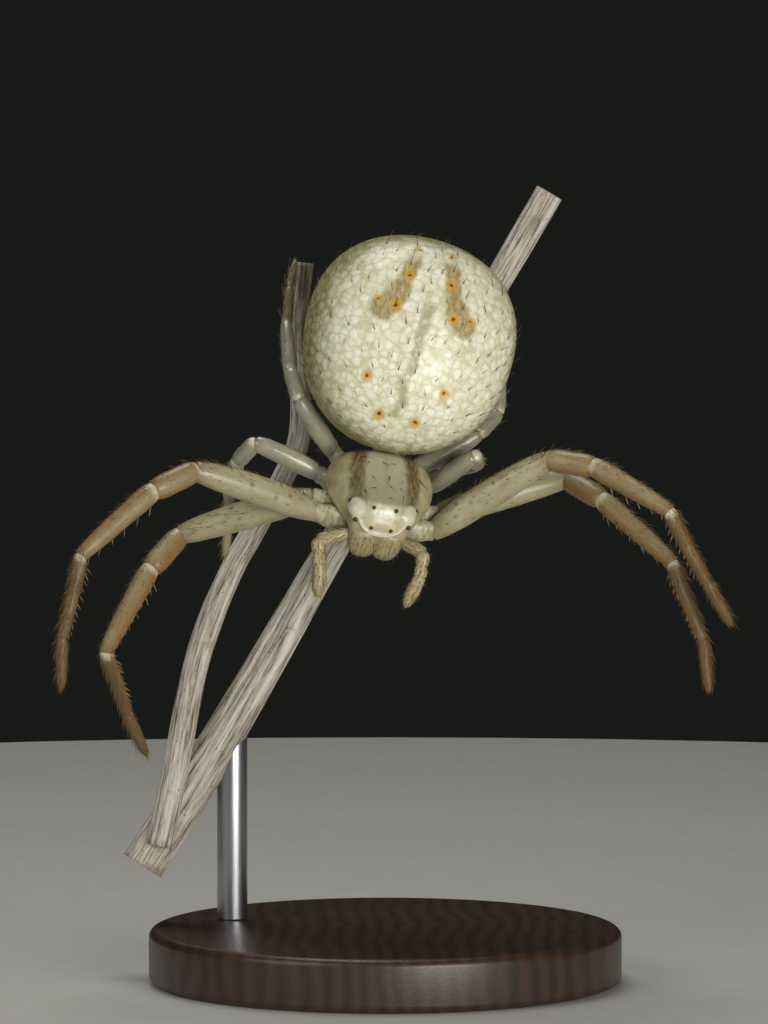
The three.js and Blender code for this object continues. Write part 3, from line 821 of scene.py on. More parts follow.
def gap_to_path(x, y, path):
    """Distance in millimetres from the point x, y to a chain of straight lines."""
    nearest = None
    for (ax, ay), (bx, by) in zip(path, path[1:]):
        run_x, run_y = bx - ax, by - ay
        length = run_x**2 + run_y**2
        share = ((x - ax) * run_x + (y - ay) * run_y) / length
        share = share.math("MAXIMUM", 0.0).math("MINIMUM", 1.0)
        off_x = x - ax - share * run_x
        off_y = y - ay - share * run_y
        gap = (off_x * off_x + off_y * off_y).math("SQRT")
        nearest = gap if nearest is None else nearest.math("MINIMUM", gap)
    return nearest


# Marks on the back of the abdomen, as paths of places across and along it
HEART_LINE = (
    (-0.1, -2.4), (0.03, -2.04), (-0.12, -1.53), (0.02, -0.98), (0.04, -0.1), (0.1, 0.31), (0.11, 0.8),
)
HEART_BRANCH = ((-0.12, -1.53), (-0.37, -1.49))
BAND_PATH = ((1.25, 0.5), (0.98, 0.8), (0.8, 1.25), (0.66, 1.75), (0.52, 2.4))
CELLS_PER_MM = 4.0
CELL_LOOSENESS = 0.85


def abdomen_finish(colours):
    """Waxy cuticle over round white cells, with brown bands, six pairs of pits and a grey heart line. Its
    olive sides are partly its own colour and partly painted shade, and its pale top is partly painted light.
    """
    material, shop, shader = new_finish("abdomen_skin", 0.34, **WAXY)
    place = shop.attribute("place")
    wobble = shop.noise(place, 2.2, 2.0, output="Color").vector("SUBTRACT", (0.5, 0.5, 0.5)).scaled(0.26)
    loose = place.vector("ADD", wobble)
    x, y, z = shop.split(loose)
    side = abs(x)
    edge = shop.cells(loose, CELLS_PER_MM, "DISTANCE_TO_EDGE", loose=CELL_LOOSENESS)
    bead = shop.cells(loose, CELLS_PER_MM, "F1", loose=CELL_LOOSENESS)
    shade = shop.cells(loose, CELLS_PER_MM, "F1", "Color", CELL_LOOSENESS)
    tone = shop.split(shade)[0]
    patch = shop.noise(place, 0.9, 3.0)
    # Pale top of the abdomen, falling to 0 on its olive sides. This is partly the abdomen's own colour and
    # partly painted light and shade: the x and y terms tilt it so that the +x side and the front end are
    # lighter and the -x side is darker.
    pale_top_and_painted_light = (z + x * 0.12 - y * 0.1).step(0.35, 1.75)
    above = z.step(0.3, 0.8)
    heart = gap_to_path(x, y, HEART_LINE)
    branch = gap_to_path(x, y, HEART_BRANCH)
    broken = shop.noise(place, 3.2, 2.0).step(0.3, 0.5)
    clear = (heart + (patch - 0.5) * 0.2).step(0.25, 0.07).math("MAXIMUM", branch.step(0.2, 0.04) * 0.7)
    clear = clear * above * (0.35 + 0.65 * broken)
    close = shop.noise(place, 1.3, 2.0).step(0.35, 0.6)
    cell = edge.step(-0.03, 0.13) * (1.0 - close * 0.6) + close * 0.6
    # The white cells fade out into the olive sides, partly as painted shade.
    cell = cell * bead.step(0.85, 0.3) * (0.3 + 0.7 * pale_top_and_painted_light) * (0.75 + 0.25 * patch.step(0.25, 0.45))
    cell = cell * (1.0 - clear * 0.9)
    # Olive sides to a pale top: partly the abdomen's own colour, partly painted shade on the sides and
    # painted light on the top.
    ground = shop.blend(pale_top_and_painted_light, colours["rim"], colours["gap"])
    ground = shop.blend(z.step(-0.2, -1.6), ground, colours["belly"])
    ground = shop.blend(clear * 0.8, ground, colours["heart"])
    white = shop.blend(tone, colours["cell"], colours["bright_cell"])
    colour = shop.blend(cell * (0.8 + tone * 0.2), ground, white)
    grain = shop.noise(place, 14.0, 2.0)
    # Bright frost grain, kept to the pale top, so partly painted light.
    frost = grain.step(0.42, 0.65) * 0.35 * pale_top_and_painted_light * (1.0 - clear)
    colour = shop.blend(frost, colour, colours["bright_cell"])

    streak = shop.noise(loose.vector("MULTIPLY", (3.0, 1.0, 1.0)), 3.0, 4.0, 0.7)
    band_gap = gap_to_path(side, y, BAND_PATH)
    width = 0.3 + y.step(1.5, 0.8) * 0.18
    band = (1.0 - (band_gap / width)).step(0.0, 0.5) * (0.6 + streak.step(0.35, 0.6) * 0.4)
    colour = shop.blend(band * above * y.step(2.7, 2.0) * 0.9, colour, colours["fibre"])

    dot = None
    halo = None
    for gap, along, wide in PITS:
        off_x = side - gap
        off_y = y - along
        away = (off_x * off_x + off_y * off_y).math("SQRT")
        this_dot = away.step(wide * 0.75, wide * 0.25)
        this_halo = (away + (streak - 0.5) * 0.12).step(wide * 2.3, wide * 0.8)
        dot = this_dot if dot is None else dot.math("MAXIMUM", this_dot)
        halo = this_halo if halo is None else halo.math("MAXIMUM", this_halo)
    colour = shop.blend(halo * above * (0.6 + streak * 0.4), colour, colours["halo"])
    colour = shop.blend(dot * above * 0.95, colour, colours["pit"])

    height = bead.step(0.9, 0.1) * pale_top_and_painted_light * 0.8 + shop.noise(place, 9.0, 3.0) * 0.6 - dot * 1.5
    feed(shop, shader, Base_Color=colour, Normal=shop.bump(height, 0.02, 0.7))
    feed(shop, shader, Roughness=0.3 + shop.noise(place, 5.0) * 0.16)
    return material


MASK_CENTRE = (0.0, -1.44, 0.62)
PINK_PATCH = ((-0.12, 0.36), (0.12, 0.36))


def carapace_finish(colours):
    """Waxy olive sides, two brown bands, a pale middle and a cream mask around the eyes."""
    material, shop, shader = new_finish("carapace_skin", 0.3, **WAXY)
    place = shop.attribute("place")
    ripple = shop.noise(place, 3.0, 3.0)
    x, y, z = shop.split(place)
    side = abs(x) + (ripple - 0.5) * 0.12
    front = y.step(-0.2, -1.15)
    band_middle = 0.84 - y.step(0.0, 1.1) * 0.1
    band_gap = abs(side - band_middle)
    grain = shop.noise(place.vector("MULTIPLY", (4.0, 1.0, 2.0)), 3.0, 4.0, 0.65)
    middle = shop.blend(y.step(-1.1, 0.9) * 0.7 + ripple * 0.3, colours["middle"], colours["bright_middle"])
    flank = shop.blend(ripple.step(0.3, 0.7), colours["flank"], colours["bright_flank"])
    colour = shop.blend(side.step(0.86, 1.02), middle, flank)
    band = band_gap.step(0.32, 0.1) * (0.6 + 0.4 * grain.step(0.35, 0.6)) * y.step(1.5, 1.1)
    band = band * (1.0 - front * 0.3)
    band_colour = shop.blend(y.step(0.1, 1.0), colours["band"], colours["red_band"])
    colour = shop.blend(band, colour, band_colour)
    streak = abs(x).step(0.1, 0.02) * y.step(-0.6, 0.2) * grain * 0.4
    colour = shop.blend(streak, colour, colours["band"])

    rise = (0.06 + x * x * 0.75).math("MINIMUM", 0.42)
    over_ridge = (z - rise + (ripple - 0.5) * 0.05).step(-0.05, 0.03)
    face = y.step(-1.25, -1.4)
    tan = shop.blend(ripple.step(0.3, 0.7), colours["jaw"], colours["pale_jaw"])
    colour = shop.blend(face, colour, tan)
    lobe = shop.joined(abs(x), y, z).vector("SUBTRACT", LOBE_CENTRE).vector("DIVIDE", LOBE_REACH)
    lobe = lobe.vector("LENGTH", output="Value").step(1.05, 0.75)
    mask = (y - abs(x) * 0.3 + (ripple - 0.5) * 0.2).step(-1.17, -1.36) * side.step(1.05, 0.9)
    eye_white = mask.math("MAXIMUM", lobe) * over_ridge
    dapple = shop.noise(place, 7.0, 3.0).step(0.35, 0.6)
    colour = shop.blend(eye_white * (0.7 + dapple * 0.3), colour, colours["eye_cream"])
    colour = shop.blend(lobe * over_ridge * 0.75, colour, colours["lobe"])
    centre = shop.joined(abs(x), y, z).vector("DISTANCE", MASK_CENTRE, output="Value")
    bright = (centre + (ripple - 0.5) * 0.5).step(0.5, 0.1) * (0.5 + dapple * 0.4)
    crest = (abs(z - rise) + (dapple - 0.5) * 0.03).step(0.08, 0.02)
    crest = crest * face * abs(x).step(0.7, 0.5) * 0.6
    colour = shop.blend(bright.math("MAXIMUM", crest), colour, colours["eye_white"])
    pink = gap_to_path(x, z, PINK_PATCH).step(0.17, 0.05) * y.step(-1.3, -1.5)
    colour = shop.blend(pink * 0.6, colour, colours["pink"])
    for eye in EYES.values():
        off = shop.joined(abs(x), y, z).vector("DISTANCE", eye, output="Value")
        colour = shop.blend(off.step(0.14, 0.07) * 0.55, colour, colours["eye_ring"])
    below = z.step(0.06, -0.08)
    colour = shop.blend(below, colour, colours["flank"])
    height = ripple + shop.cells(place, 11.0) * 0.35
    feed(shop, shader, Base_Color=colour, Normal=shop.bump(height, 0.02, 0.5))
    return material


def sternum_finish(colours):
    """Olive plate and waist under the body."""
    material, shop, shader = new_finish("sternum_skin", 0.36, **WAXY)
    place = shop.attribute("place")
    cloud = shop.noise(place, 2.5, 4.0)
    colour = shop.blend(cloud.step(0.3, 0.7), colours["flank"], colours["bright_flank"])
    height = cloud + shop.cells(place, 9.0) * 0.4
    feed(shop, shader, Base_Color=colour, Normal=shop.bump(height, 0.02, 0.5))
    return material


# Small red-brown spots on the front thighs: place along, and place aside of the middle
THIGH_SPOTS = ((0.9, 0.12), (1.33, -0.08), (2.2, 0.05))


def leg_finish(name, stops, flush, colours, dashes, gloss, brown):
    """Waxy leg that changes colour along its lengths.

    stops: colours along it. flush: a tint in clouds. dashes: strength of the dark bristle roots.
    gloss: weight of the clear coat. brown: how much the marks of the front legs show.
    """
    material, shop, shader = new_finish(name, 0.3, Coat_Weight=gloss, Coat_Roughness=0.12, **WAXY)
    stage = shop.attribute("stage", "Fac")
    place = shop.attribute("place")
    x, y, z = shop.split(place)
    mottle = shop.noise(place.vector("MULTIPLY", (1.0, 0.45, 1.0)), 4.0, 4.0, 0.6)
    reading = (stage + (mottle - 0.5) * 0.25) / 6.0
    colour = shop.ramp(reading, stops)
    cloud = shop.noise(place, 1.6, 3.0).step(0.35, 0.7)
    colour = shop.blend(cloud * 0.35, colour, flush)
    radius = (x * x + z * z).math("SQRT")
    past_thigh = stage.step(1.6, 2.3) * brown
    rim = (abs(z) / radius).step(0.55, 1.0) * past_thigh
    colour = shop.blend(rim * 0.5, colour, colours["rust_edge"])
    pale = (abs(x) / radius).step(0.6, 1.0) * past_thigh * stage.step(4.4, 3.8)
    colour = shop.blend(pale * (0.15 + cloud * 0.3), colour, colours["cream_leg"])
    spot = None
    for along, aside in THIGH_SPOTS:
        away = shop.joined(0.0, y, z).vector("DISTANCE", (0.0, along, aside), output="Value")
        this_spot = away.step(0.1, 0.04)
        spot = this_spot if spot is None else spot.math("MAXIMUM", this_spot)
    colour = shop.blend(spot * brown * 0.55, colour, colours["red_band"])
    share = stage.math("FRACT")
    crease = shop.noise(place.vector("MULTIPLY", (1.0, 2.0, 1.0)), 4.0, 3.0)
    joint = (share + (crease - 0.5) * 0.1).step(0.13, 0.03) * stage.step(1.5, 2.0) * stage.step(4.6, 4.4)
    hip = stage.step(1.05, 0.7) * crease.step(0.42, 0.6) * 0.8
    colour = shop.blend(joint.math("MAXIMUM", hip) * 0.7, colour, colours["joint"])
    far_end = share.step(0.9, 1.0) * stage.step(1.5, 1.9) * stage.step(4.5, 4.0)
    colour = shop.blend(far_end * 0.35, colour, colours["rust_leg"])
    stretched = place.vector("MULTIPLY", (5.0, 1.6, 5.0))
    dash = shop.cells(stretched, 1.9, "F1", "Distance", 1.0).step(0.24, 0.1)
    keep = shop.noise(place, 3.1, 1.0).step(0.45, 0.6)
    colour = shop.blend(dash * keep * dashes, colour, colours["dash"])
    height = mottle * 0.6 - dash * keep * 0.6 + shop.noise(place, 16.0, 2.0) * 0.3
    height = height + crease * (joint * 1.4 + hip * 0.5)
    feed(shop, shader, Base_Color=colour, Normal=shop.bump(height, 0.018, 0.6))
    feed(shop, shader, Roughness=0.26 + mottle * 0.16 + stage.step(1.6, 4.2) * 0.22 * brown)
    return material


def mouth_finish(colours):
    """Tan, mottled jaws, palps and spinnerets, with brown streaks along them."""
    material, shop, shader = new_finish("mouthpart_skin", 0.36, **WAXY)
    place = shop.attribute("place")
    cloud = shop.noise(place.vector("MULTIPLY", (1.0, 0.5, 1.0)), 4.5, 4.0)
    colour = shop.blend(cloud.step(0.3, 0.7), colours["jaw"], colours["pale_jaw"])
    streak = shop.noise(place.vector("MULTIPLY", (7.0, 1.0, 7.0)), 1.6, 3.0).step(0.5, 0.7)
    colour = shop.blend(streak * 0.3, colour, colours["jaw_streak"])
    height = cloud + shop.cells(place, 8.0) * 0.5
    feed(shop, shader, Base_Color=colour, Normal=shop.bump(height, 0.02, 0.6))
    return material


def eye_finish(colours):
    """Clear black bead."""
    material, shop, shader = new_finish("eye_bead", 0.06, Coat_Weight=1.0, Coat_Roughness=0.03)
    depth = shop.noise(shop.object_place(), 9.0, 2.0)
    feed(shop, shader, Base_Color=shop.blend(depth, colours["eye"], colours["eye_glint"]))
    return material


def bristle_finish(name, root, tip, roughness=0.45):
    """Horny bristle, with a shade that changes a little from one to the next."""
    material, shop, shader = new_finish(name, roughness)
    place = shop.attribute("place")
    colour = shop.blend(shop.noise(place, 6.0, 2.0).step(0.35, 0.65), root, tip)
    feed(shop, shader, Base_Color=colour)
    return material


def fang_finish(colours):
    """Polished horn, darker towards the point."""
    material, shop, shader = new_finish("fang_horn", 0.18, Coat_Weight=0.6)
    place = shop.attribute("place")
    y = shop.split(place)[1]
    colour = shop.blend(y.step(0.05, 0.4), colours["fang_root"], colours["fang"])
    feed(shop, shader, Base_Color=colour)
    return material


def stem_finish(colours):
    """Weathered straw: pale grey fibres along it, brown grooves and blotches, and dark specks."""
    material, shop, shader = new_finish("dry_stem", 0.78)
    place = shop.attribute("place")
    fibre = shop.noise(place.vector("MULTIPLY", (9.0, 0.55, 9.0)), 1.5, 6.0, 0.7)
    streak = shop.noise(place.vector("MULTIPLY", (3.2, 0.18, 3.2)), 1.6, 4.0, 0.6)
    blotch = shop.noise(place, 1.1, 4.0, 0.65)
    colour = shop.blend(fibre.step(0.34, 0.62), colours["groove"], colours["straw"])
    colour = shop.blend(streak.step(0.48, 0.68) * 0.75, colour, colours["pale_straw"])
    colour = shop.blend(blotch.step(0.58, 0.72) * 0.5, colour, colours["brown_straw"])
    speck = shop.cells(place.vector("MULTIPLY", (1.0, 0.5, 1.0)), 6.0).step(0.16, 0.08)
    keep = shop.noise(place, 2.0, 1.0).step(0.48, 0.58)
    colour = shop.blend(speck * keep * 0.85, colour, colours["speck"])
    height = fibre * 0.8 + streak * 0.5
    feed(shop, shader, Base_Color=colour, Normal=shop.bump(height, 0.09, 0.9))
    return material


def wood_finish(colours):
    """Dark satin wood with growth rings across the top of the base."""
    material, shop, shader = new_finish("stand_wood", 0.4, Coat_Weight=0.25, Coat_Roughness=0.25)
    spot = shop.object_place()
    warp = shop.noise(spot, 0.18, 3.0, output="Color").scaled(1.6)
    bent = spot.vector("ADD", warp).vector("MULTIPLY", (1.0, 0.12, 1.0))
    rings = shop.node("ShaderNodeTexWave", {"wave_type": "BANDS", "bands_direction": "X"},
                      {"Vector": bent, "Scale": 0.55, "Distortion": 2.5, "Detail": 3.0})
    pore = shop.noise(spot.vector("MULTIPLY", (6.0, 0.5, 6.0)), 1.4, 4.0, 0.65)
    colour = shop.blend(rings * 0.6 + pore * 0.4, colours["wood"], colours["wood_light"])
    colour = shop.blend(pore.step(0.62, 0.72) * 0.6, colour, colours["wood_pore"])
    feed(shop, shader, Base_Color=colour, Normal=shop.bump(pore, 0.02, 0.4))
    feed(shop, shader, Roughness=0.34 + pore * 0.16)
    return material


def metal_finish(colours):
    """Satin steel, brushed along the rod."""
    material, shop, shader = new_finish("stand_metal", 0.3, Metallic=1.0)
    spot = shop.object_place()
    brush = shop.noise(spot.vector("MULTIPLY", (18.0, 18.0, 0.5)), 1.2, 3.0, 0.6)
    feed(shop, shader, Base_Color=shop.blend(brush, colours["steel"], colours["steel_light"]))
    feed(shop, shader, Roughness=0.24 + brush * 0.2, Normal=shop.bump(brush, 0.004, 0.5))
    return material


# Pieces


def keep_mesh(name, mesh, node_names):
    """Puts a finished mesh into the scene as a piece that stands for its CAD nodes."""
    piece = bpy.data.objects.new(name, mesh)
    bpy.context.scene.collection.objects.link(piece)
    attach(piece, "root")
    if node_names:
        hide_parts(*node_names)
    return piece


def united(name, shells_and_finishes):
    """One closed mesh from all the shells, with the finish of each kept on its own faces."""
    operands = bpy.data.collections.new("operands")
    bpy.context.scene.collection.children.link(operands)
    base = None
    for shell, finish in shells_and_finishes:
        shell.region = region_of(shell)
        made = bpy.data.objects.new(shell.name, shell.mesh(finish))
        if base is None:
            base = made
            bpy.context.scene.collection.objects.link(base)
        else:
            operands.objects.link(made)
    join = base.modifiers.new("union", "BOOLEAN")
    join.operation = "UNION"
    join.operand_type = "COLLECTION"
    join.collection = operands
    join.solver = "MANIFOLD"
    join.material_mode = "TRANSFER"
    graph = bpy.context.evaluated_depsgraph_get()
    mesh = bpy.data.meshes.new_from_object(base.evaluated_get(graph))
    mesh.name = name
    if len(mesh.polygons) < len(base.data.polygons):
        raise RuntimeError("the skin's shells did not join")
    for made in list(operands.objects) + [base]:
        bpy.data.objects.remove(made)
    bpy.data.collections.remove(operands)
    mesh.shade_smooth()
    mesh.set_sharp_from_angle(angle=math.radians(50))
    return mesh


FLESH_NODES = ["carapace", "sternum", "abdomen", "spinnerets"]
FLESH_NODES += [f"jaw_{side}" for side, mirror in SIDES]
FLESH_NODES += [f"palp_{side}_{half}" for side, mirror in SIDES for half in ("upper", "lower")]
FLESH_NODES += [
    f"leg_{side}_{pair}_{part}"
    for side, mirror in SIDES
    for pair in (1, 2, 3, 4)
    for part in ("hip", "femur", "shin", "foot")
]

# Number of each region of the skin, by which the bristles find it. A left leg has its pair's number
REGIONS = {"carapace": 20, "sternum": 21, "abdomen": 22, "waist": 23, "spinneret": 24, "jaw": 25, "palp": 26}
RIGHT_LEGS = 10


def leg_region(side_name, pair):
    return pair + (RIGHT_LEGS if side_name == "right" else 0)


def region_of(shell):
    """Region of a shell, told by its name."""
    first, second = (shell.name.split("_") + [""])[:2]
    if first in REGIONS:
        return REGIONS[first]
    return leg_region(first, int(second))


def bristle_tree(scattered):
    """Geometry Nodes that set bristles on a surface, or on the points of a mesh, and join them up."""
    tree = bpy.data.node_groups.new("bristles", "GeometryNodeTree")
    make = tree.interface.new_socket
    make("Geometry", in_out="INPUT", socket_type="NodeSocketGeometry")
    defaults = {
        "Region": 0.0, "Spacing": 0.0001, "Density": 1e8, "Length": 0.0002, "Spread": 0.4,
        "Slenderness": 0.04, "Slant": 0.5, "Slant Spread": 0.3, "Bend": 0.2, "Stray": 0.3,
    }
    for name, value in defaults.items():
        socket = make(name, in_out="INPUT", socket_type="NodeSocketFloat")
        socket.default_value = value
    make("Seed", in_out="INPUT", socket_type="NodeSocketInt")
    make("Material", in_out="INPUT", socket_type="NodeSocketMaterial")
    make("Geometry", in_out="OUTPUT", socket_type="NodeSocketGeometry")
    shop = Shop(tree)
    given = tree.nodes.new("NodeGroupInput")

    def wire(name):
        return Wire(shop, given.outputs[name])

    def named(name, kind="FLOAT_VECTOR"):
        return shop.node("GeometryNodeInputNamedAttribute", {"data_type": kind}, {"Name": name})

    def random(low, high, offset):
        values = {2: low, 3: high, "Seed": wire("Seed") + offset}
        return shop.node("FunctionNodeRandomValue", {"data_type": "FLOAT"}, values, 1)

    if scattered:
        here = abs(named("region", "FLOAT") - wire("Region")).math("LESS_THAN", 0.5)
        values = {
            "Mesh": wire("Geometry"), "Distance Min": wire("Spacing"), "Density Max": wire("Density"),
            "Density Factor": named("growth", "FLOAT") * here, "Seed": wire("Seed"),
        }
        settings = {"distribute_method": "POISSON"}
        points = shop.node("GeometryNodeDistributePointsOnFaces", settings, values)
        normal = Wire(shop, points.socket.node.outputs["Normal"])
    else:
        points = wire("Geometry")
        normal = named("out")

    lie = named("lie")
    across = lie.vector("CROSS_PRODUCT", normal).vector("NORMALIZE")
    flat = normal.vector("CROSS_PRODUCT", across).vector("NORMALIZE")
    sway = random(-1.0, 1.0, 5) * wire("Stray")
    flat = flat.scaled(sway.math("COSINE")).vector("ADD", across.scaled(sway.math("SINE")))
    slant = wire("Slant") + random(-1.0, 1.0, 6) * wire("Slant Spread")
    heading = flat.scaled(slant.math("COSINE")).vector("ADD", normal.scaled(slant.math("SINE")))
    align = {"axis": "Z", "pivot_axis": "AUTO"}
    turn = shop.node("FunctionNodeAlignRotationToVector", align, {"Vector": heading})
    align = {"axis": "X", "pivot_axis": "Z"}
    values = {"Rotation": turn, "Vector": normal.scaled(-1.0)}
    turn = shop.node("FunctionNodeAlignRotationToVector", align, values)
    size = wire("Length") * (1.0 + random(-1.0, 1.0, 7) * wire("Spread")) * named("reach", "FLOAT")

    values = {
        "Vertices": 3, "Side Segments": 2, "Depth": 1.0,
        "Radius Top": 0.0, "Radius Bottom": wire("Slenderness"),
    }
    cone = shop.node("GeometryNodeMeshCone", {"fill_type": "NGON"}, values)
    wrap = Wire(shop, cone.socket.node.outputs["UV Map"])
    corner_map = {"data_type": "FLOAT2", "domain": "CORNER"}
    values = {"Geometry": cone, "Name": "hair_uv", "Value": wrap}
    hair = shop.node("GeometryNodeStoreNamedAttribute", corner_map, values)
    height = shop.split(shop.node("GeometryNodeInputPosition"))[2]
    bent = shop.joined(height * height * wire("Bend"), 0.0, 0.0)
    hair = shop.node("GeometryNodeSetPosition", None, {"Geometry": hair, "Offset": bent})
    values = {"Points": points, "Instance": hair, "Rotation": turn, "Scale": size}
    stood = shop.node("GeometryNodeInstanceOnPoints", None, values)
    joined = shop.node("GeometryNodeRealizeInstances", None, {"Geometry": stood})
    patch = named("root_uv").vector("ADD", named("hair_uv").scaled(PATCH))
    values = {"Geometry": joined, "Name": "OFBake", "Value": patch}
    mapped = shop.node("GeometryNodeStoreNamedAttribute", corner_map, values)
    values = {"Geometry": mapped, "Material": wire("Material")}
    painted = shop.node("GeometryNodeSetMaterial", None, values)
    out = tree.nodes.new("NodeGroupOutput")
    tree.links.new(painted.socket, out.inputs["Geometry"])
    return tree


def grown(name, surface, tree, finish, slot_name, **inputs):
    """Runs the bristle tree on a copy of a surface and keeps the plain mesh it gives."""
    root = bpy.data.objects.new(name + "_root", surface)
    bpy.context.scene.collection.objects.link(root)
    modifier = root.modifiers.new("bristles", "NODES")
    modifier.node_group = tree
    sockets = {item.name: item.identifier for item in tree.interface.items_tree if item.in_out == "INPUT"}
    for label, value in inputs.items():
        modifier[sockets[label.replace("_", " ")]] = value
    modifier[sockets["Material"]] = finish
    graph = bpy.context.evaluated_depsgraph_get()
    mesh = bpy.data.meshes.new_from_object(root.evaluated_get(graph))
    bpy.data.objects.remove(root)
    if not len(mesh.polygons) or "OFBake" not in mesh.uv_layers:
        raise RuntimeError(f"{name} grew no bristles with a map")
    mesh.name = name
    for spare in ("hair_uv", "root_uv"):
        if spare in mesh.attributes:
            mesh.attributes.remove(mesh.attributes[spare])
    mesh.shade_smooth()
    keep_mesh(name, mesh, [])


def point_mesh(name, places):
    """A mesh of loose points for the bristle tree. A place is point, normal, lie, reach and uv."""
    mesh = bpy.data.meshes.new(name)
    points = to_row(np.array([place[0] for place in places]))
    mesh.from_pydata(points.tolist(), [], [])
    normals = turned(np.array([place[1] for place in places]), SPECIMEN)
    put_attribute(mesh, "out", "FLOAT_VECTOR", "POINT", normals)
    put_attribute(mesh, "lie", "FLOAT_VECTOR", "POINT", turned(np.array([p[2] for p in places]), SPECIMEN))
    put_attribute(mesh, "reach", "FLOAT", "POINT", np.array([place[3] for place in places]))
    put_attribute(mesh, "root_uv", "FLOAT2", "POINT", np.array([place[4] for place in places]))
    put_attribute(mesh, "place", "FLOAT_VECTOR", "POINT", np.array([place[0] for place in places]))
    return mesh


def bead_mesh(name, centre, outward, radius, finish, flatten=0.9):
    """A fine rounded bead, a little flatter across the way it looks out."""
    rings = np.linspace(0, math.pi, 22)[1:-1]
    angle = np.linspace(0, 2 * math.pi, 32, endpoint=False)
    across = unit(np.cross(outward, (0.3, 0.2, 1.0)))
    upward = np.cross(outward, across)
    ball = np.sin(rings)[:, None, None] * (np.cos(angle)[:, None] * across + np.sin(angle)[:, None] * upward)
    ball = ball - np.cos(rings)[:, None, None] * outward * flatten
    points = centre + ball * radius
    shell = Shell(name, points, points, np.broadcast_to(outward, points.shape))
    return shell.mesh(finish)


def swept_shell(name, path, widths, columns, section=None, tile=(0, 0, 1, 1)):
    """A closed round piece along a path of points, given its half width at each."""
    path = np.asarray(path, float)
    along = unit(np.gradient(path, axis=0))
    side = unit(np.cross(along, (0.0, 1.0, 0.0)))
    front = np.cross(side, along)
    angle = np.linspace(0, 2 * math.pi, columns, endpoint=False)
    run = np.concatenate([[0], np.cumsum(np.linalg.norm(np.diff(path, axis=0), axis=1))])
    reach = np.ones((len(path), columns)) if section is None else section(run[:, None], angle[None, :])
    half = np.asarray(widths)[:, None] * reach
    points = path[:, None, :] + (half * np.cos(angle))[..., None] * side[:, None, :]
    points = points + (half * np.sin(angle))[..., None] * front[:, None, :]
    place = np.stack([
        half * np.cos(angle), np.broadcast_to(run[:, None], half.shape), half * np.sin(angle),
    ], -1)
    return Shell(name, points, place, np.broadcast_to(along[:, None, :], points.shape), tile=tile)


# Perch: a straight stem of two grown-together stalks, and a bowed twig beside it
STEM_LOW = (-7, 3.9, -11)
STEM_HIGH = (5.05, 3.9, 9)
STEM_RADII = (0.66, 0.5)
STEM_TWIST = 2.2
STEM_SWAY = 0.06
STEM_WAVES = 9
TWIG_DEPTH = 3.5
TWIG_PATH = (
    (-6.5, -10.4), (-6.04, -8.2), (-5.5, -5.35), (-5.0, -3.7), (-4.35, -2.2), (-3.78, -1.17),
    (-2.84, 0.5), (-2.36, 1.65), (-2.32, 3.2), (-2.42, 4.9), (-2.22, 6.9),
)
TWIG_RADII = (0.42, 0.3)


def stem_shell():
    """The stem, whose cleft between the two stalks winds slowly around it."""
    low, high = np.array(STEM_LOW, float), np.array(STEM_HIGH, float)
    share = np.linspace(0, 1, 240)
    along = unit(high - low)
    across = unit(np.array([1.0, 0, 0]) - along * along[0])
    sway = STEM_SWAY * np.sin(STEM_WAVES * share)
    path = low + share[:, None] * (high - low) + sway[:, None] * across
    widths = STEM_RADII[0] + (STEM_RADII[1] - STEM_RADII[0]) * share
    length = np.linalg.norm(high - low)

    def section(run, angle):
        twist = STEM_TWIST * run / length
        furrows = 0.012 * np.cos(11 * angle + 1.3 * np.sin(run * 0.8))
        furrows = furrows + 0.01 * np.cos(17 * angle - run * 0.35)
        cleft = 0.86 + 0.13 * np.cos(2 * (angle - twist)) - 0.05 * np.abs(np.sin(angle - twist)) ** 14
        return cleft + furrows - 0.012

    return swept_shell("stem", path, widths, 96, section)


def twig_shell():
    """The thin twig, with fine furrows."""
    corners = np.array([(x, TWIG_DEPTH, z) for x, z in TWIG_PATH])
    path = smooth_rows(corners, 150)
    widths = np.linspace(TWIG_RADII[0], TWIG_RADII[1], 150)

    def section(run, angle):
        furrows = 0.02 * np.cos(7 * angle + run * 0.5) + 0.012 * np.cos(13 * angle - run * 0.3)
        return 0.955 + furrows + 0.02 * np.sin(run * 2.1)

    return swept_shell("twig", path, widths, 48, section)


# Stand: the rod ends inside the stem, a share of the way up it
BASE_RADIUS = 7
BASE_THICKNESS = 1.6
BASE_BEVEL = 0.25
ROD_RADIUS = 0.45
ROD_BEVEL = 0.05
ROD_STATION = 0.22
ROD_TOP_DROP = 0.3


def lathe_mesh(name, outline, centre, columns, finish):
    """A turned piece about an upright axis, from radius and height pairs, in the row's millimetres."""
    mesh = bpy.data.meshes.new(name)
    vertices = []
    for radius, height in outline[1:-1]:
        for column in range(columns):
            angle = 2 * math.pi * column / columns
            spot = (centre[0] + radius * math.cos(angle), centre[1] + radius * math.sin(angle), height)
            vertices.append([length * MM for length in spot])
    faces = []
    for ring in range(len(outline) - 3):
        for column in range(columns):
            following = (column + 1) % columns
            low, high = ring * columns, (ring + 1) * columns
            faces.append((low + column, low + following, high + following, high + column))
    last = len(vertices) - columns
    faces.append(tuple(reversed(range(columns))))
    faces.append(tuple(range(last, last + columns)))
    mesh.from_pydata(vertices, [], faces)
    mesh.materials.append(finish)
    mesh.shade_smooth()
    mesh.set_sharp_from_angle(angle=math.radians(35))
    return mesh


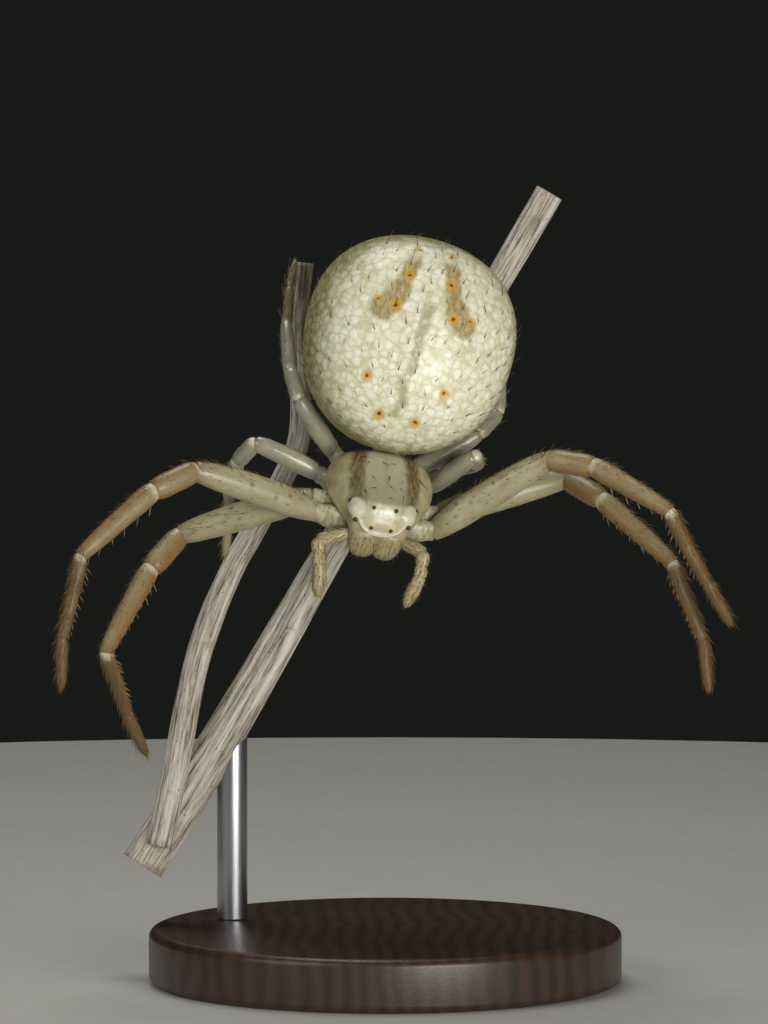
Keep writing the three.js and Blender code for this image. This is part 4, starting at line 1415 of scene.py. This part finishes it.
def rounded_outline(radius, low, high, bevel, steps=6):
    """Radius and height pairs of a disc or rod with rounded edges."""
    outline = [(0, low)]
    for step in range(steps + 1):
        angle = math.pi / 2 * step / steps
        outline.append((radius - bevel + bevel * math.sin(angle), low + bevel - bevel * math.cos(angle)))
    for step in range(steps + 1):
        angle = math.pi / 2 * step / steps
        outline.append((radius - bevel + bevel * math.cos(angle), high - bevel + bevel * math.sin(angle)))
    return outline + [(0, high)]


# Least gaps in metres between the bristles of the mouthparts and the spinnerets
FACE_BRISTLE_GAPS = {"jaw": 0.00013, "palp": 0.00012, "spinneret": 0.00007}

# Bristles that stand one by one
SPINE_SLENDERNESS = 0.085
CLAW_LENGTH = 0.14
SPINE_COUNTS = {"tibia": 6, "metatarsus": 11}

# Places of the long bristles on the carapace, across and along it
CARAPACE_BRISTLES = (
    (-0.51, 0.38), (-0.09, 0.45), (0.26, 0.43), (-1.02, -0.26), (-0.44, -0.15), (0.06, -0.12),
    (0.06, -0.49), (-1.11, -0.47), (-0.69, -0.74), (0.07, -0.95), (0.57, -0.18), (0.69, 0.13),
    (-0.88, -0.93), (0.66, -0.76), (1.02, -0.74), (0.45, -0.5), (-0.3, -0.66), (1.2, 0.1),
    (-1.25, 0.15), (0.9, 0.5), (-0.85, 0.62),
)


def spine_places(shells):
    """Two rows of stout spines under each front shin and metatarsus, leaning towards the foot."""
    places = []
    for shell in shells:
        pair, article = shell.name.split("_")[1:]
        if pair not in "12" or article not in SPINE_COUNTS:
            continue
        count = SPINE_COUNTS[article]
        under = under_share(shell)
        for number in range(count):
            share = 0.2 + 0.72 * number / (count - 1)
            for row in (-1, 1):
                around = under + row * 0.075 + 0.006 * math.sin(7 * number + row)
                point, normal, lie, uv = shell.spot(share, around % 1)
                reach = 1.0 - 0.35 * share + 0.12 * math.sin(5 * number + 2 * row)
                places.append((point, normal, lie, reach if article == "tibia" else 0.8 * reach, uv))
    return places


def under_share(shell):
    """Share around a limb at which its surface looks most to the inside of the leg's bend."""
    side_name, pair = shell.name.split("_")[:2]
    leg = next(leg for leg in LEGS if leg[0] == side_name and leg[1] == int(pair))
    facing = shell.normals[shell.rings // 2] @ inner_side(leg)
    return float(facing.argmax()) / shell.columns


def claw_places(shells):
    """Two small claws at the end of every foot."""
    places = []
    for shell in shells:
        if not shell.name.endswith("tarsus") or shell.name.endswith("metatarsus"):
            continue
        under = under_share(shell)
        for row in (-1, 1):
            point, normal, lie, uv = shell.spot(0.97, (under + 0.5 + row * 0.12) % 1)
            places.append((point, normal, lie, 1.0, uv))
    return places


def carapace_places(shell):
    """The long bristles of the carapace, which lean forward and a little to either side."""
    places = []
    for number, (x, y) in enumerate(CARAPACE_BRISTLES):
        point, normal, lie, uv = shell.nearest((x, y, 1.2))
        forward = unit(lie + 0.35 * math.sin(number * 2.3) * turned((1, 0, 0), PROSOMA))
        reach = 1.0 + 0.25 * math.sin(number * 4.1)
        places.append((point, normal, forward, reach, uv))
    return places


# Sizes and colours that a user may change


def millimetres(name, description, default):
    return FloatProperty(
        name=name, description=description, default=default * MM, unit="LENGTH", precision=5
    )


def power(name, description, default):
    return FloatProperty(name=name, description=description, default=default, unit="POWER")


def colour(name, description, screen):
    return FloatVectorProperty(
        name=name, description=description, default=paint(*screen), size=4, subtype="COLOR", min=0, max=1
    )


class SpiderSizes(bpy.types.PropertyGroup):
    """Sizes of the small features of the body."""

    eye_radius: millimetres("Eye radius", "Half width of each eye bead", EYE_RADIUS)
    leg_bristle: millimetres("Leg bristle", "Length of the short bristles on the legs", 0.24)
    abdomen_bristle: millimetres("Abdomen bristle", "Length of the bristles on the abdomen", 0.32)
    carapace_bristle: millimetres("Carapace bristle", "Length of the long bristles on the carapace", 0.5)
    face_bristle: millimetres("Face bristle", "Length of the bristles on the jaws and palps", 0.23)
    spine: millimetres("Leg spine", "Length of the spines under the front legs", 0.36)
    seed: IntProperty(name="Seed", description="Seed of the scatter of the bristles", default=7)


SPIDER_COLOURS = {
    "cell": ("Abdomen cell", (238, 235, 206)),
    "bright_cell": ("Bright abdomen cell", (252, 250, 232)),
    "gap": ("Between the cells", (208, 205, 164)),
    # The olive of the abdomen's sides is partly its own colour and partly painted shade.
    "rim": ("Abdomen side", (142, 132, 70)),
    "belly": ("Abdomen underside", (196, 188, 144)),
    "heart": ("Heart line", (170, 166, 128)),
    "fibre": ("Brown patches of the abdomen", (156, 130, 50)),
    "band": ("Brown band", (104, 82, 40)),
    "red_band": ("Rear end of the bands", (116, 68, 42)),
    "halo": ("Around the pits", (214, 162, 24)),
    "pit": ("Pit", (112, 44, 16)),
    "middle": ("Carapace middle", (158, 153, 124)),
    "bright_middle": ("Carapace middle, pale", (192, 187, 162)),
    "flank": ("Carapace side", (164, 155, 112)),
    "bright_flank": ("Carapace side, pale", (188, 180, 140)),
    "eye_white": ("Around the eyes", (252, 249, 236)),
    "eye_cream": ("Between the eyes", (202, 193, 162)),
    "lobe": ("Lobes of the side eyes", (218, 213, 192)),
    "pink": ("Between the front eyes", (204, 170, 140)),
    "eye_ring": ("Eye ring", (226, 206, 138)),
    "jaw": ("Jaws", (160, 144, 102)),
    "jaw_streak": ("Jaw streaks", (116, 96, 62)),
    "pale_jaw": ("Jaws, pale", (190, 176, 136)),
    "joint": ("Joint skin", (222, 216, 190)),
    "dash": ("Bristle root", (92, 72, 48)),
    "cream_leg": ("Front thigh", (172, 164, 132)),
    "tan_leg": ("Front knee", (138, 114, 72)),
    "rust_leg": ("Front foot", (102, 81, 50)),
    "rust_edge": ("Front leg edges", (144, 106, 56)),
    "glass_leg": ("Hind leg", (150, 149, 130)),
    "glass_foot": ("Hind foot", (140, 132, 98)),
    "eye": ("Eye", (10, 7, 5)),
    "eye_glint": ("Eye, lighter", (34, 20, 12)),
    "bristle": ("Bristle", (78, 50, 30)),
    "bristle_tip": ("Bristle, lighter", (116, 86, 50)),
    "pale_bristle": ("Pale bristle", (186, 160, 116)),
    "spine": ("Spine", (138, 104, 66)),
    "fang": ("Fang", (46, 22, 12)),
    "fang_root": ("Fang root", (104, 62, 34)),
    "straw": ("Straw", (216, 208, 190)),
    "pale_straw": ("Straw, pale", (244, 240, 230)),
    "groove": ("Straw groove", (106, 90, 68)),
    "brown_straw": ("Straw, brown", (128, 108, 80)),
    "speck": ("Straw speck", (52, 42, 32)),
    "wood": ("Base wood", (44, 30, 22)),
    "wood_light": ("Base wood, lighter", (74, 52, 38)),
    "wood_pore": ("Base wood pores", (24, 16, 12)),
    "steel": ("Rod steel", (148, 150, 154)),
    "steel_light": ("Rod steel, lighter", (196, 198, 202)),
    "floor": ("Floor", (206, 204, 198)),
    "backdrop": ("Backdrop", (26, 28, 26)),
}


class SpiderColours(bpy.types.PropertyGroup):
    """Colours of the body, its perch and its stand."""

    __annotations__ = {
        key: colour(label, f"Colour of this part: {label.lower()}", screen)
        for key, (label, screen) in SPIDER_COLOURS.items()
    }


class StageSettings(bpy.types.PropertyGroup):
    """Camera and lamps."""

    camera_distance: millimetres("Camera distance", "From the camera to the specimen's plane", 400)
    key_power: power("Key lamp", "Power of the large lamp", 0.1)
    fill_power: power("Fill lamp", "Power of the fill lamp", 0.035)
    rim_power: power("Rim lamp", "Power of the lamp behind", 0.045)


# What one step makes and a later step reads
BUILT = {}


def chosen():
    """The colours as plain tuples, by name."""
    settings = bpy.context.scene.spider_colours
    return {key: tuple(getattr(settings, key)) for key in SPIDER_COLOURS}


def leg_stops(first, second, third, last):
    """Colours along a leg, from its hip at 0 to the end of its foot at 1."""
    return (
        (0.0, first), (0.3, first), (0.36, second), (0.5, second),
        (0.64, third), (0.7, last), (1.0, last),
    )


class CRAB_OT_skin(bpy.types.Operator):
    """Joins the carapace, abdomen, legs, palps and jaws into one seamless skin"""

    bl_idname = "crab.skin"
    bl_label = "Skin"

    def execute(self, context):
        colours = chosen()
        tan, glass = colours["tan_leg"], colours["glass_leg"]
        front_stops = leg_stops(colours["cream_leg"], tan, tan, colours["rust_leg"])
        rear_stops = leg_stops(glass, glass, glass, colours["glass_foot"])
        finishes = {
            "front": leg_finish(
                "front_leg_skin", front_stops, tan, colours, dashes=0.75, gloss=0.08, brown=1.0
            ),
            "rear": leg_finish(
                "rear_leg_skin", rear_stops, colours["bright_flank"], colours,
                dashes=0.15, gloss=0.6, brown=0.0,
            ),
            "abdomen": abdomen_finish(colours),
            "carapace": carapace_finish(colours),
            "sternum": sternum_finish(colours),
            "mouth": mouth_finish(colours),
        }
        BUILT["carapace"] = carapace_shell()
        shells = [(BUILT["carapace"], finishes["carapace"]), (sternum_shell(), finishes["sternum"])]
        shells += [(abdomen_shell(), finishes["abdomen"]), (waist_shell(), finishes["sternum"])]
        shells += [(shell, finishes["mouth"]) for shell in spinneret_shells() + jaw_shells() + palp_shells()]
        BUILT["legs"] = []
        for leg in LEGS:
            made = leg_shells(leg)
            BUILT["legs"] += made
            shells += [(shell, finishes["front" if leg[1] < 3 else "rear"]) for shell in made]
        BUILT["skin"] = keep_mesh("skin", united("skin", shells), FLESH_NODES)
        return {"FINISHED"}


class CRAB_OT_eyes(bpy.types.Operator):
    """Makes the eight eyes as glossy beads seated in the carapace"""

    bl_idname = "crab.eyes"
    bl_label = "Eyes"

    def execute(self, context):
        finish = eye_finish(chosen())
        radius = context.scene.spider_sizes.eye_radius / MM
        shell = BUILT["carapace"]
        for row, place in EYES.items():
            for side_name, mirror in SIDES:
                point, normal = shell.nearest(mirrored(place, mirror))[:2]
                name = f"eye_{row}_{side_name}"
                centre = point + normal * radius * EYE_RISE
                if row == "rear_side":
                    centre = centre + turned(mirrored(REAR_SIDE_SHIFT, mirror), PROSOMA)
                wide = radius * (SIDE_EYE_SIZE if row.endswith("side") else 1.0)
                mesh = bead_mesh(f"bead_{row}_{side_name}", centre, normal, wide, finish)
                keep_mesh(f"bead_{row}_{side_name}", mesh, [name])
        return {"FINISHED"}


class CRAB_OT_fangs(bpy.types.Operator):
    """Makes the two small folded fangs"""

    bl_idname = "crab.fangs"
    bl_label = "Fangs"

    def execute(self, context):
        finish = fang_finish(chosen())
        for side_name, mirror in SIDES:
            start = np.array(mirrored(FANG_START, mirror))
            end = np.array(mirrored(FANG_END, mirror))
            share = np.linspace(0, 1, 24)[:, None]
            sag = FANG_SAG * np.sin(math.pi * share) * np.array([0, -0.3, -1.0])
            path = placed(start + share * (end - start) + sag, PROSOMA)
            widths = profile(FANG_WIDTHS, share[:, 0])
            shell = swept_shell(f"fang_{side_name}", path, widths, 16)
            keep_mesh(f"hook_{side_name}", shell.mesh(finish), [f"fang_{side_name}"])
        return {"FINISHED"}


class CRAB_OT_body_bristles(bpy.types.Operator):
    """Grows the sparse bristles of the abdomen, carapace, underside, jaws and palps"""

    bl_idname = "crab.body_bristles"
    bl_label = "Body bristles"

    def execute(self, context):
        colours = chosen()
        sizes = context.scene.spider_sizes
        dark = bristle_finish("bristle_dark", colours["bristle"], colours["bristle_tip"])
        BUILT["brown"] = bristle_finish("bristle_brown", colours["bristle_tip"], colours["spine"])
        pale = bristle_finish("bristle_pale", colours["bristle_tip"], colours["pale_bristle"])
        BUILT["dark"] = dark
        BUILT["pale"] = pale
        BUILT["tree"] = bristle_tree(True)
        BUILT["placed"] = bristle_tree(False)
        surface = BUILT["skin"].data
        tree = BUILT["tree"]
        grown(
            "bristles_abdomen", surface, tree, dark, "abdomen_skin",
            Region=float(REGIONS["abdomen"]), Spacing=0.0004, Density=9e6,
            Length=sizes.abdomen_bristle, Spread=0.35, Slenderness=0.042,
            Slant=0.6, Slant_Spread=0.3, Bend=0.12, Stray=0.5, Seed=sizes.seed,
        )
        grown(
            "bristles_underside", surface, tree, pale, "carapace_skin",
            Region=float(REGIONS["sternum"]), Spacing=0.00012, Density=2e8,
            Length=0.00016, Spread=0.3, Slenderness=0.05,
            Slant=0.5, Slant_Spread=0.2, Bend=0.2, Stray=0.4, Seed=sizes.seed,
        )
        for part, gap in FACE_BRISTLE_GAPS.items():
            grown(
                f"bristles_{part}s", surface, tree, dark, "mouthpart_skin",
                Region=float(REGIONS[part]), Spacing=gap, Density=8e8,
                Length=sizes.face_bristle, Spread=0.4, Slenderness=0.042,
                Slant=0.55, Slant_Spread=0.25, Bend=0.25, Stray=0.4, Seed=sizes.seed,
            )
        spots = point_mesh("carapace_spots", carapace_places(BUILT["carapace"]))
        grown(
            "bristles_carapace", spots, BUILT["placed"], dark, "carapace_skin",
            Length=sizes.carapace_bristle, Spread=0.3, Slenderness=0.026,
            Slant=0.75, Slant_Spread=0.25, Bend=0.5, Stray=0.5, Seed=sizes.seed,
        )
        return {"FINISHED"}


class CRAB_OT_leg_bristles(bpy.types.Operator):
    """Grows the bristles, spines and claws of the eight legs"""

    bl_idname = "crab.leg_bristles"
    bl_label = "Leg bristles"

    def execute(self, context):
        colours = chosen()
        sizes = context.scene.spider_sizes
        surface = BUILT["skin"].data
        for side_name, pair in (leg[:2] for leg in LEGS):
            region = leg_region(side_name, pair)
            slot = "front_leg_skin" if pair < 3 else "rear_leg_skin"
            name = f"bristles_leg_{side_name}_{pair}"
            thick = BUILT["brown"] if pair < 3 else BUILT["pale"]
            grown(
                name, surface, BUILT["tree"], thick, slot,
                Region=float(region), Spacing=0.00007, Density=3.2e8,
                Length=sizes.leg_bristle, Spread=0.3, Slenderness=0.04,
                Slant=0.52, Slant_Spread=0.25, Bend=0.14, Stray=0.25, Seed=sizes.seed + region,
            )
        horn = bristle_finish("spine_horn", colours["spine"], colours["pale_bristle"], 0.35)
        spots = point_mesh("spine_spots", spine_places(BUILT["legs"]))
        grown(
            "spines_front_legs", spots, BUILT["placed"], horn, "front_leg_skin",
            Length=sizes.spine, Spread=0.15, Slenderness=SPINE_SLENDERNESS,
            Slant=0.75, Slant_Spread=0.15, Bend=0.05, Stray=0.15, Seed=sizes.seed,
        )
        spots = point_mesh("claw_spots", claw_places(BUILT["legs"]))
        grown(
            "claws", spots, BUILT["placed"], BUILT["dark"], "rear_leg_skin",
            Length=CLAW_LENGTH * MM, Spread=0.05, Slenderness=0.16,
            Slant=0.25, Slant_Spread=0.0, Bend=0.45, Stray=0.05, Seed=sizes.seed,
        )
        return {"FINISHED"}


class CRAB_OT_perch(bpy.types.Operator):
    """Makes the cut stem and the twig beside it, with fine fibres"""

    bl_idname = "crab.perch"
    bl_label = "Perch"

    def execute(self, context):
        finish = stem_finish(chosen())
        keep_mesh("cut_stem", stem_shell().mesh(finish), ["perch_stem"])
        keep_mesh("side_twig", twig_shell().mesh(finish), ["perch_twig"])
        return {"FINISHED"}


class CRAB_OT_stand(bpy.types.Operator):
    """Makes the turned base and the upright rod"""

    bl_idname = "crab.stand"
    bl_label = "Stand"

    def execute(self, context):
        colours = chosen()
        outline = rounded_outline(BASE_RADIUS, 0, BASE_THICKNESS, BASE_BEVEL)
        mesh = lathe_mesh("turned_base", outline, (0, 0), 96, wood_finish(colours))
        keep_mesh("turned_base", mesh, ["stand_base"])
        low, high = np.array(STEM_LOW, float), np.array(STEM_HIGH, float)
        seat = to_row(low + ROD_STATION * (high - low)) / MM
        outline = rounded_outline(ROD_RADIUS, BASE_THICKNESS, seat[2] - ROD_TOP_DROP, ROD_BEVEL)
        mesh = lathe_mesh("upright_rod", outline, seat[:2], 40, metal_finish(colours))
        keep_mesh("upright_rod", mesh, ["stand_rod"])
        return {"FINISHED"}


# Stage: the camera frames the reference picture, and a lamp is place, width, power setting and tint
PICTURE_HEIGHT_MM = PICTURE_SIZE[1] / PIXELS_PER_MM
SENSOR = 36
FLOOR_RADIUS = 60
FLOOR_HEIGHTS = (-1.0, -0.01)
FLOOR_BEVEL = 0.2
LAMPS = {
    "key": ((50, -98, 14), 66, "key_power", (1.0, 0.985, 0.95)),
    "fill": ((-80, -70, 60), 80, "fill_power", (0.97, 0.99, 1.0)),
    "top": ((-10, 30, 110), 60, "rim_power", (1.0, 0.99, 0.96)),
}


def area_lamp(name, place, size, energy, tint):
    """A round lamp that looks at the spider, placed in the row's millimetres."""
    data = bpy.data.lights.new(name, "AREA")
    data.shape = "DISK"
    data.size = size * MM
    data.energy = energy
    data.color = tint
    lamp = bpy.data.objects.new(name, data)
    lamp.location = Vector(place) * MM
    lamp.rotation_mode = "QUATERNION"
    lamp.rotation_quaternion = (Vector(SPECIMEN_PLACE) - Vector(place)).to_track_quat("-Z", "Y")
    bpy.context.scene.collection.objects.link(lamp)


class CRAB_OT_stage(bpy.types.Operator):
    """Sets up the floor, the backdrop, the soft lamps and the camera"""

    bl_idname = "crab.stage"
    bl_label = "Stage"

    def execute(self, context):
        settings = context.scene.spider_stage
        colours = chosen()
        material, shop, shader = new_finish("floor_paper", 0.8)
        spot = shop.node("ShaderNodeTexCoord", output="Object")
        paper = shop.noise(spot, 900.0, 3.0)
        feed(shop, shader, Base_Color=shop.blend(paper * 0.12, colours["floor"], colours["backdrop"]))
        outline = rounded_outline(FLOOR_RADIUS, *FLOOR_HEIGHTS, FLOOR_BEVEL)
        floor = bpy.data.objects.new("floor", lathe_mesh("floor", outline, (0, 0), 96, material))
        bpy.context.scene.collection.objects.link(floor)

        world = bpy.data.worlds.new("studio")
        world.use_nodes = True
        ground = world.node_tree.nodes["Background"]
        ground.inputs["Color"].default_value = colours["backdrop"]
        ground.inputs["Strength"].default_value = 0.9
        context.scene.world = world

        for name, (place, size, setting, tint) in LAMPS.items():
            area_lamp(name, place, size, getattr(settings, setting), tint)

        distance = settings.camera_distance / MM
        x = (PICTURE_SIZE[0] / 2 - CARAPACE_PIXEL[0]) / PIXELS_PER_MM
        z = (CARAPACE_PIXEL[1] - PICTURE_SIZE[1] / 2) / PIXELS_PER_MM
        target = to_row((x, 0, z))
        place = to_row((x, -distance, z))
        data = bpy.data.cameras.new("camera")
        data.sensor_width = SENSOR
        data.lens = SENSOR * distance / PICTURE_HEIGHT_MM
        data.clip_start = 0.01
        data.clip_end = 10
        camera = bpy.data.objects.new("camera", data)
        camera.location = place
        camera.rotation_mode = "QUATERNION"
        camera.rotation_quaternion = Vector(target - place).to_track_quat("-Z", "Y")
        context.scene.collection.objects.link(camera)
        context.scene.camera = camera
        context.scene.view_settings.view_transform = "Standard"
        return {"FINISHED"}


class CRAB_PT_panel(bpy.types.Panel):
    """Lists the steps of the model"""

    bl_idname = "CRAB_PT_panel"
    bl_label = "Crab Spider"
    bl_space_type = "VIEW_3D"
    bl_region_type = "UI"
    bl_category = "Crab Spider"

    def draw(self, context):
        for step in STEPS:
            self.layout.operator(step.bl_idname)
        scene = context.scene
        for settings in (scene.spider_sizes, scene.spider_stage, scene.spider_colours):
            box = self.layout.box()
            for name in settings.__annotations__:
                box.prop(settings, name)


STEPS = (
    CRAB_OT_skin, CRAB_OT_eyes, CRAB_OT_fangs, CRAB_OT_body_bristles, CRAB_OT_leg_bristles,
    CRAB_OT_perch, CRAB_OT_stand, CRAB_OT_stage,
)
CLASSES = (SpiderSizes, SpiderColours, StageSettings, *STEPS, CRAB_PT_panel)


def register():
    for made in CLASSES:
        bpy.utils.register_class(made)
    bpy.types.Scene.spider_sizes = PointerProperty(type=SpiderSizes)
    bpy.types.Scene.spider_colours = PointerProperty(type=SpiderColours)
    bpy.types.Scene.spider_stage = PointerProperty(type=StageSettings)


def unregister():
    del bpy.types.Scene.spider_stage
    del bpy.types.Scene.spider_colours
    del bpy.types.Scene.spider_sizes
    for made in reversed(CLASSES):
        bpy.utils.unregister_class(made)


def main():
    register()
    bpy.ops.crab.skin()
    bpy.ops.crab.eyes()
    bpy.ops.crab.fangs()
    bpy.ops.crab.body_bristles()
    bpy.ops.crab.leg_bristles()
    bpy.ops.crab.perch()
    bpy.ops.crab.stand()
    bpy.ops.crab.stage()


if __name__ == "__main__":
    main()
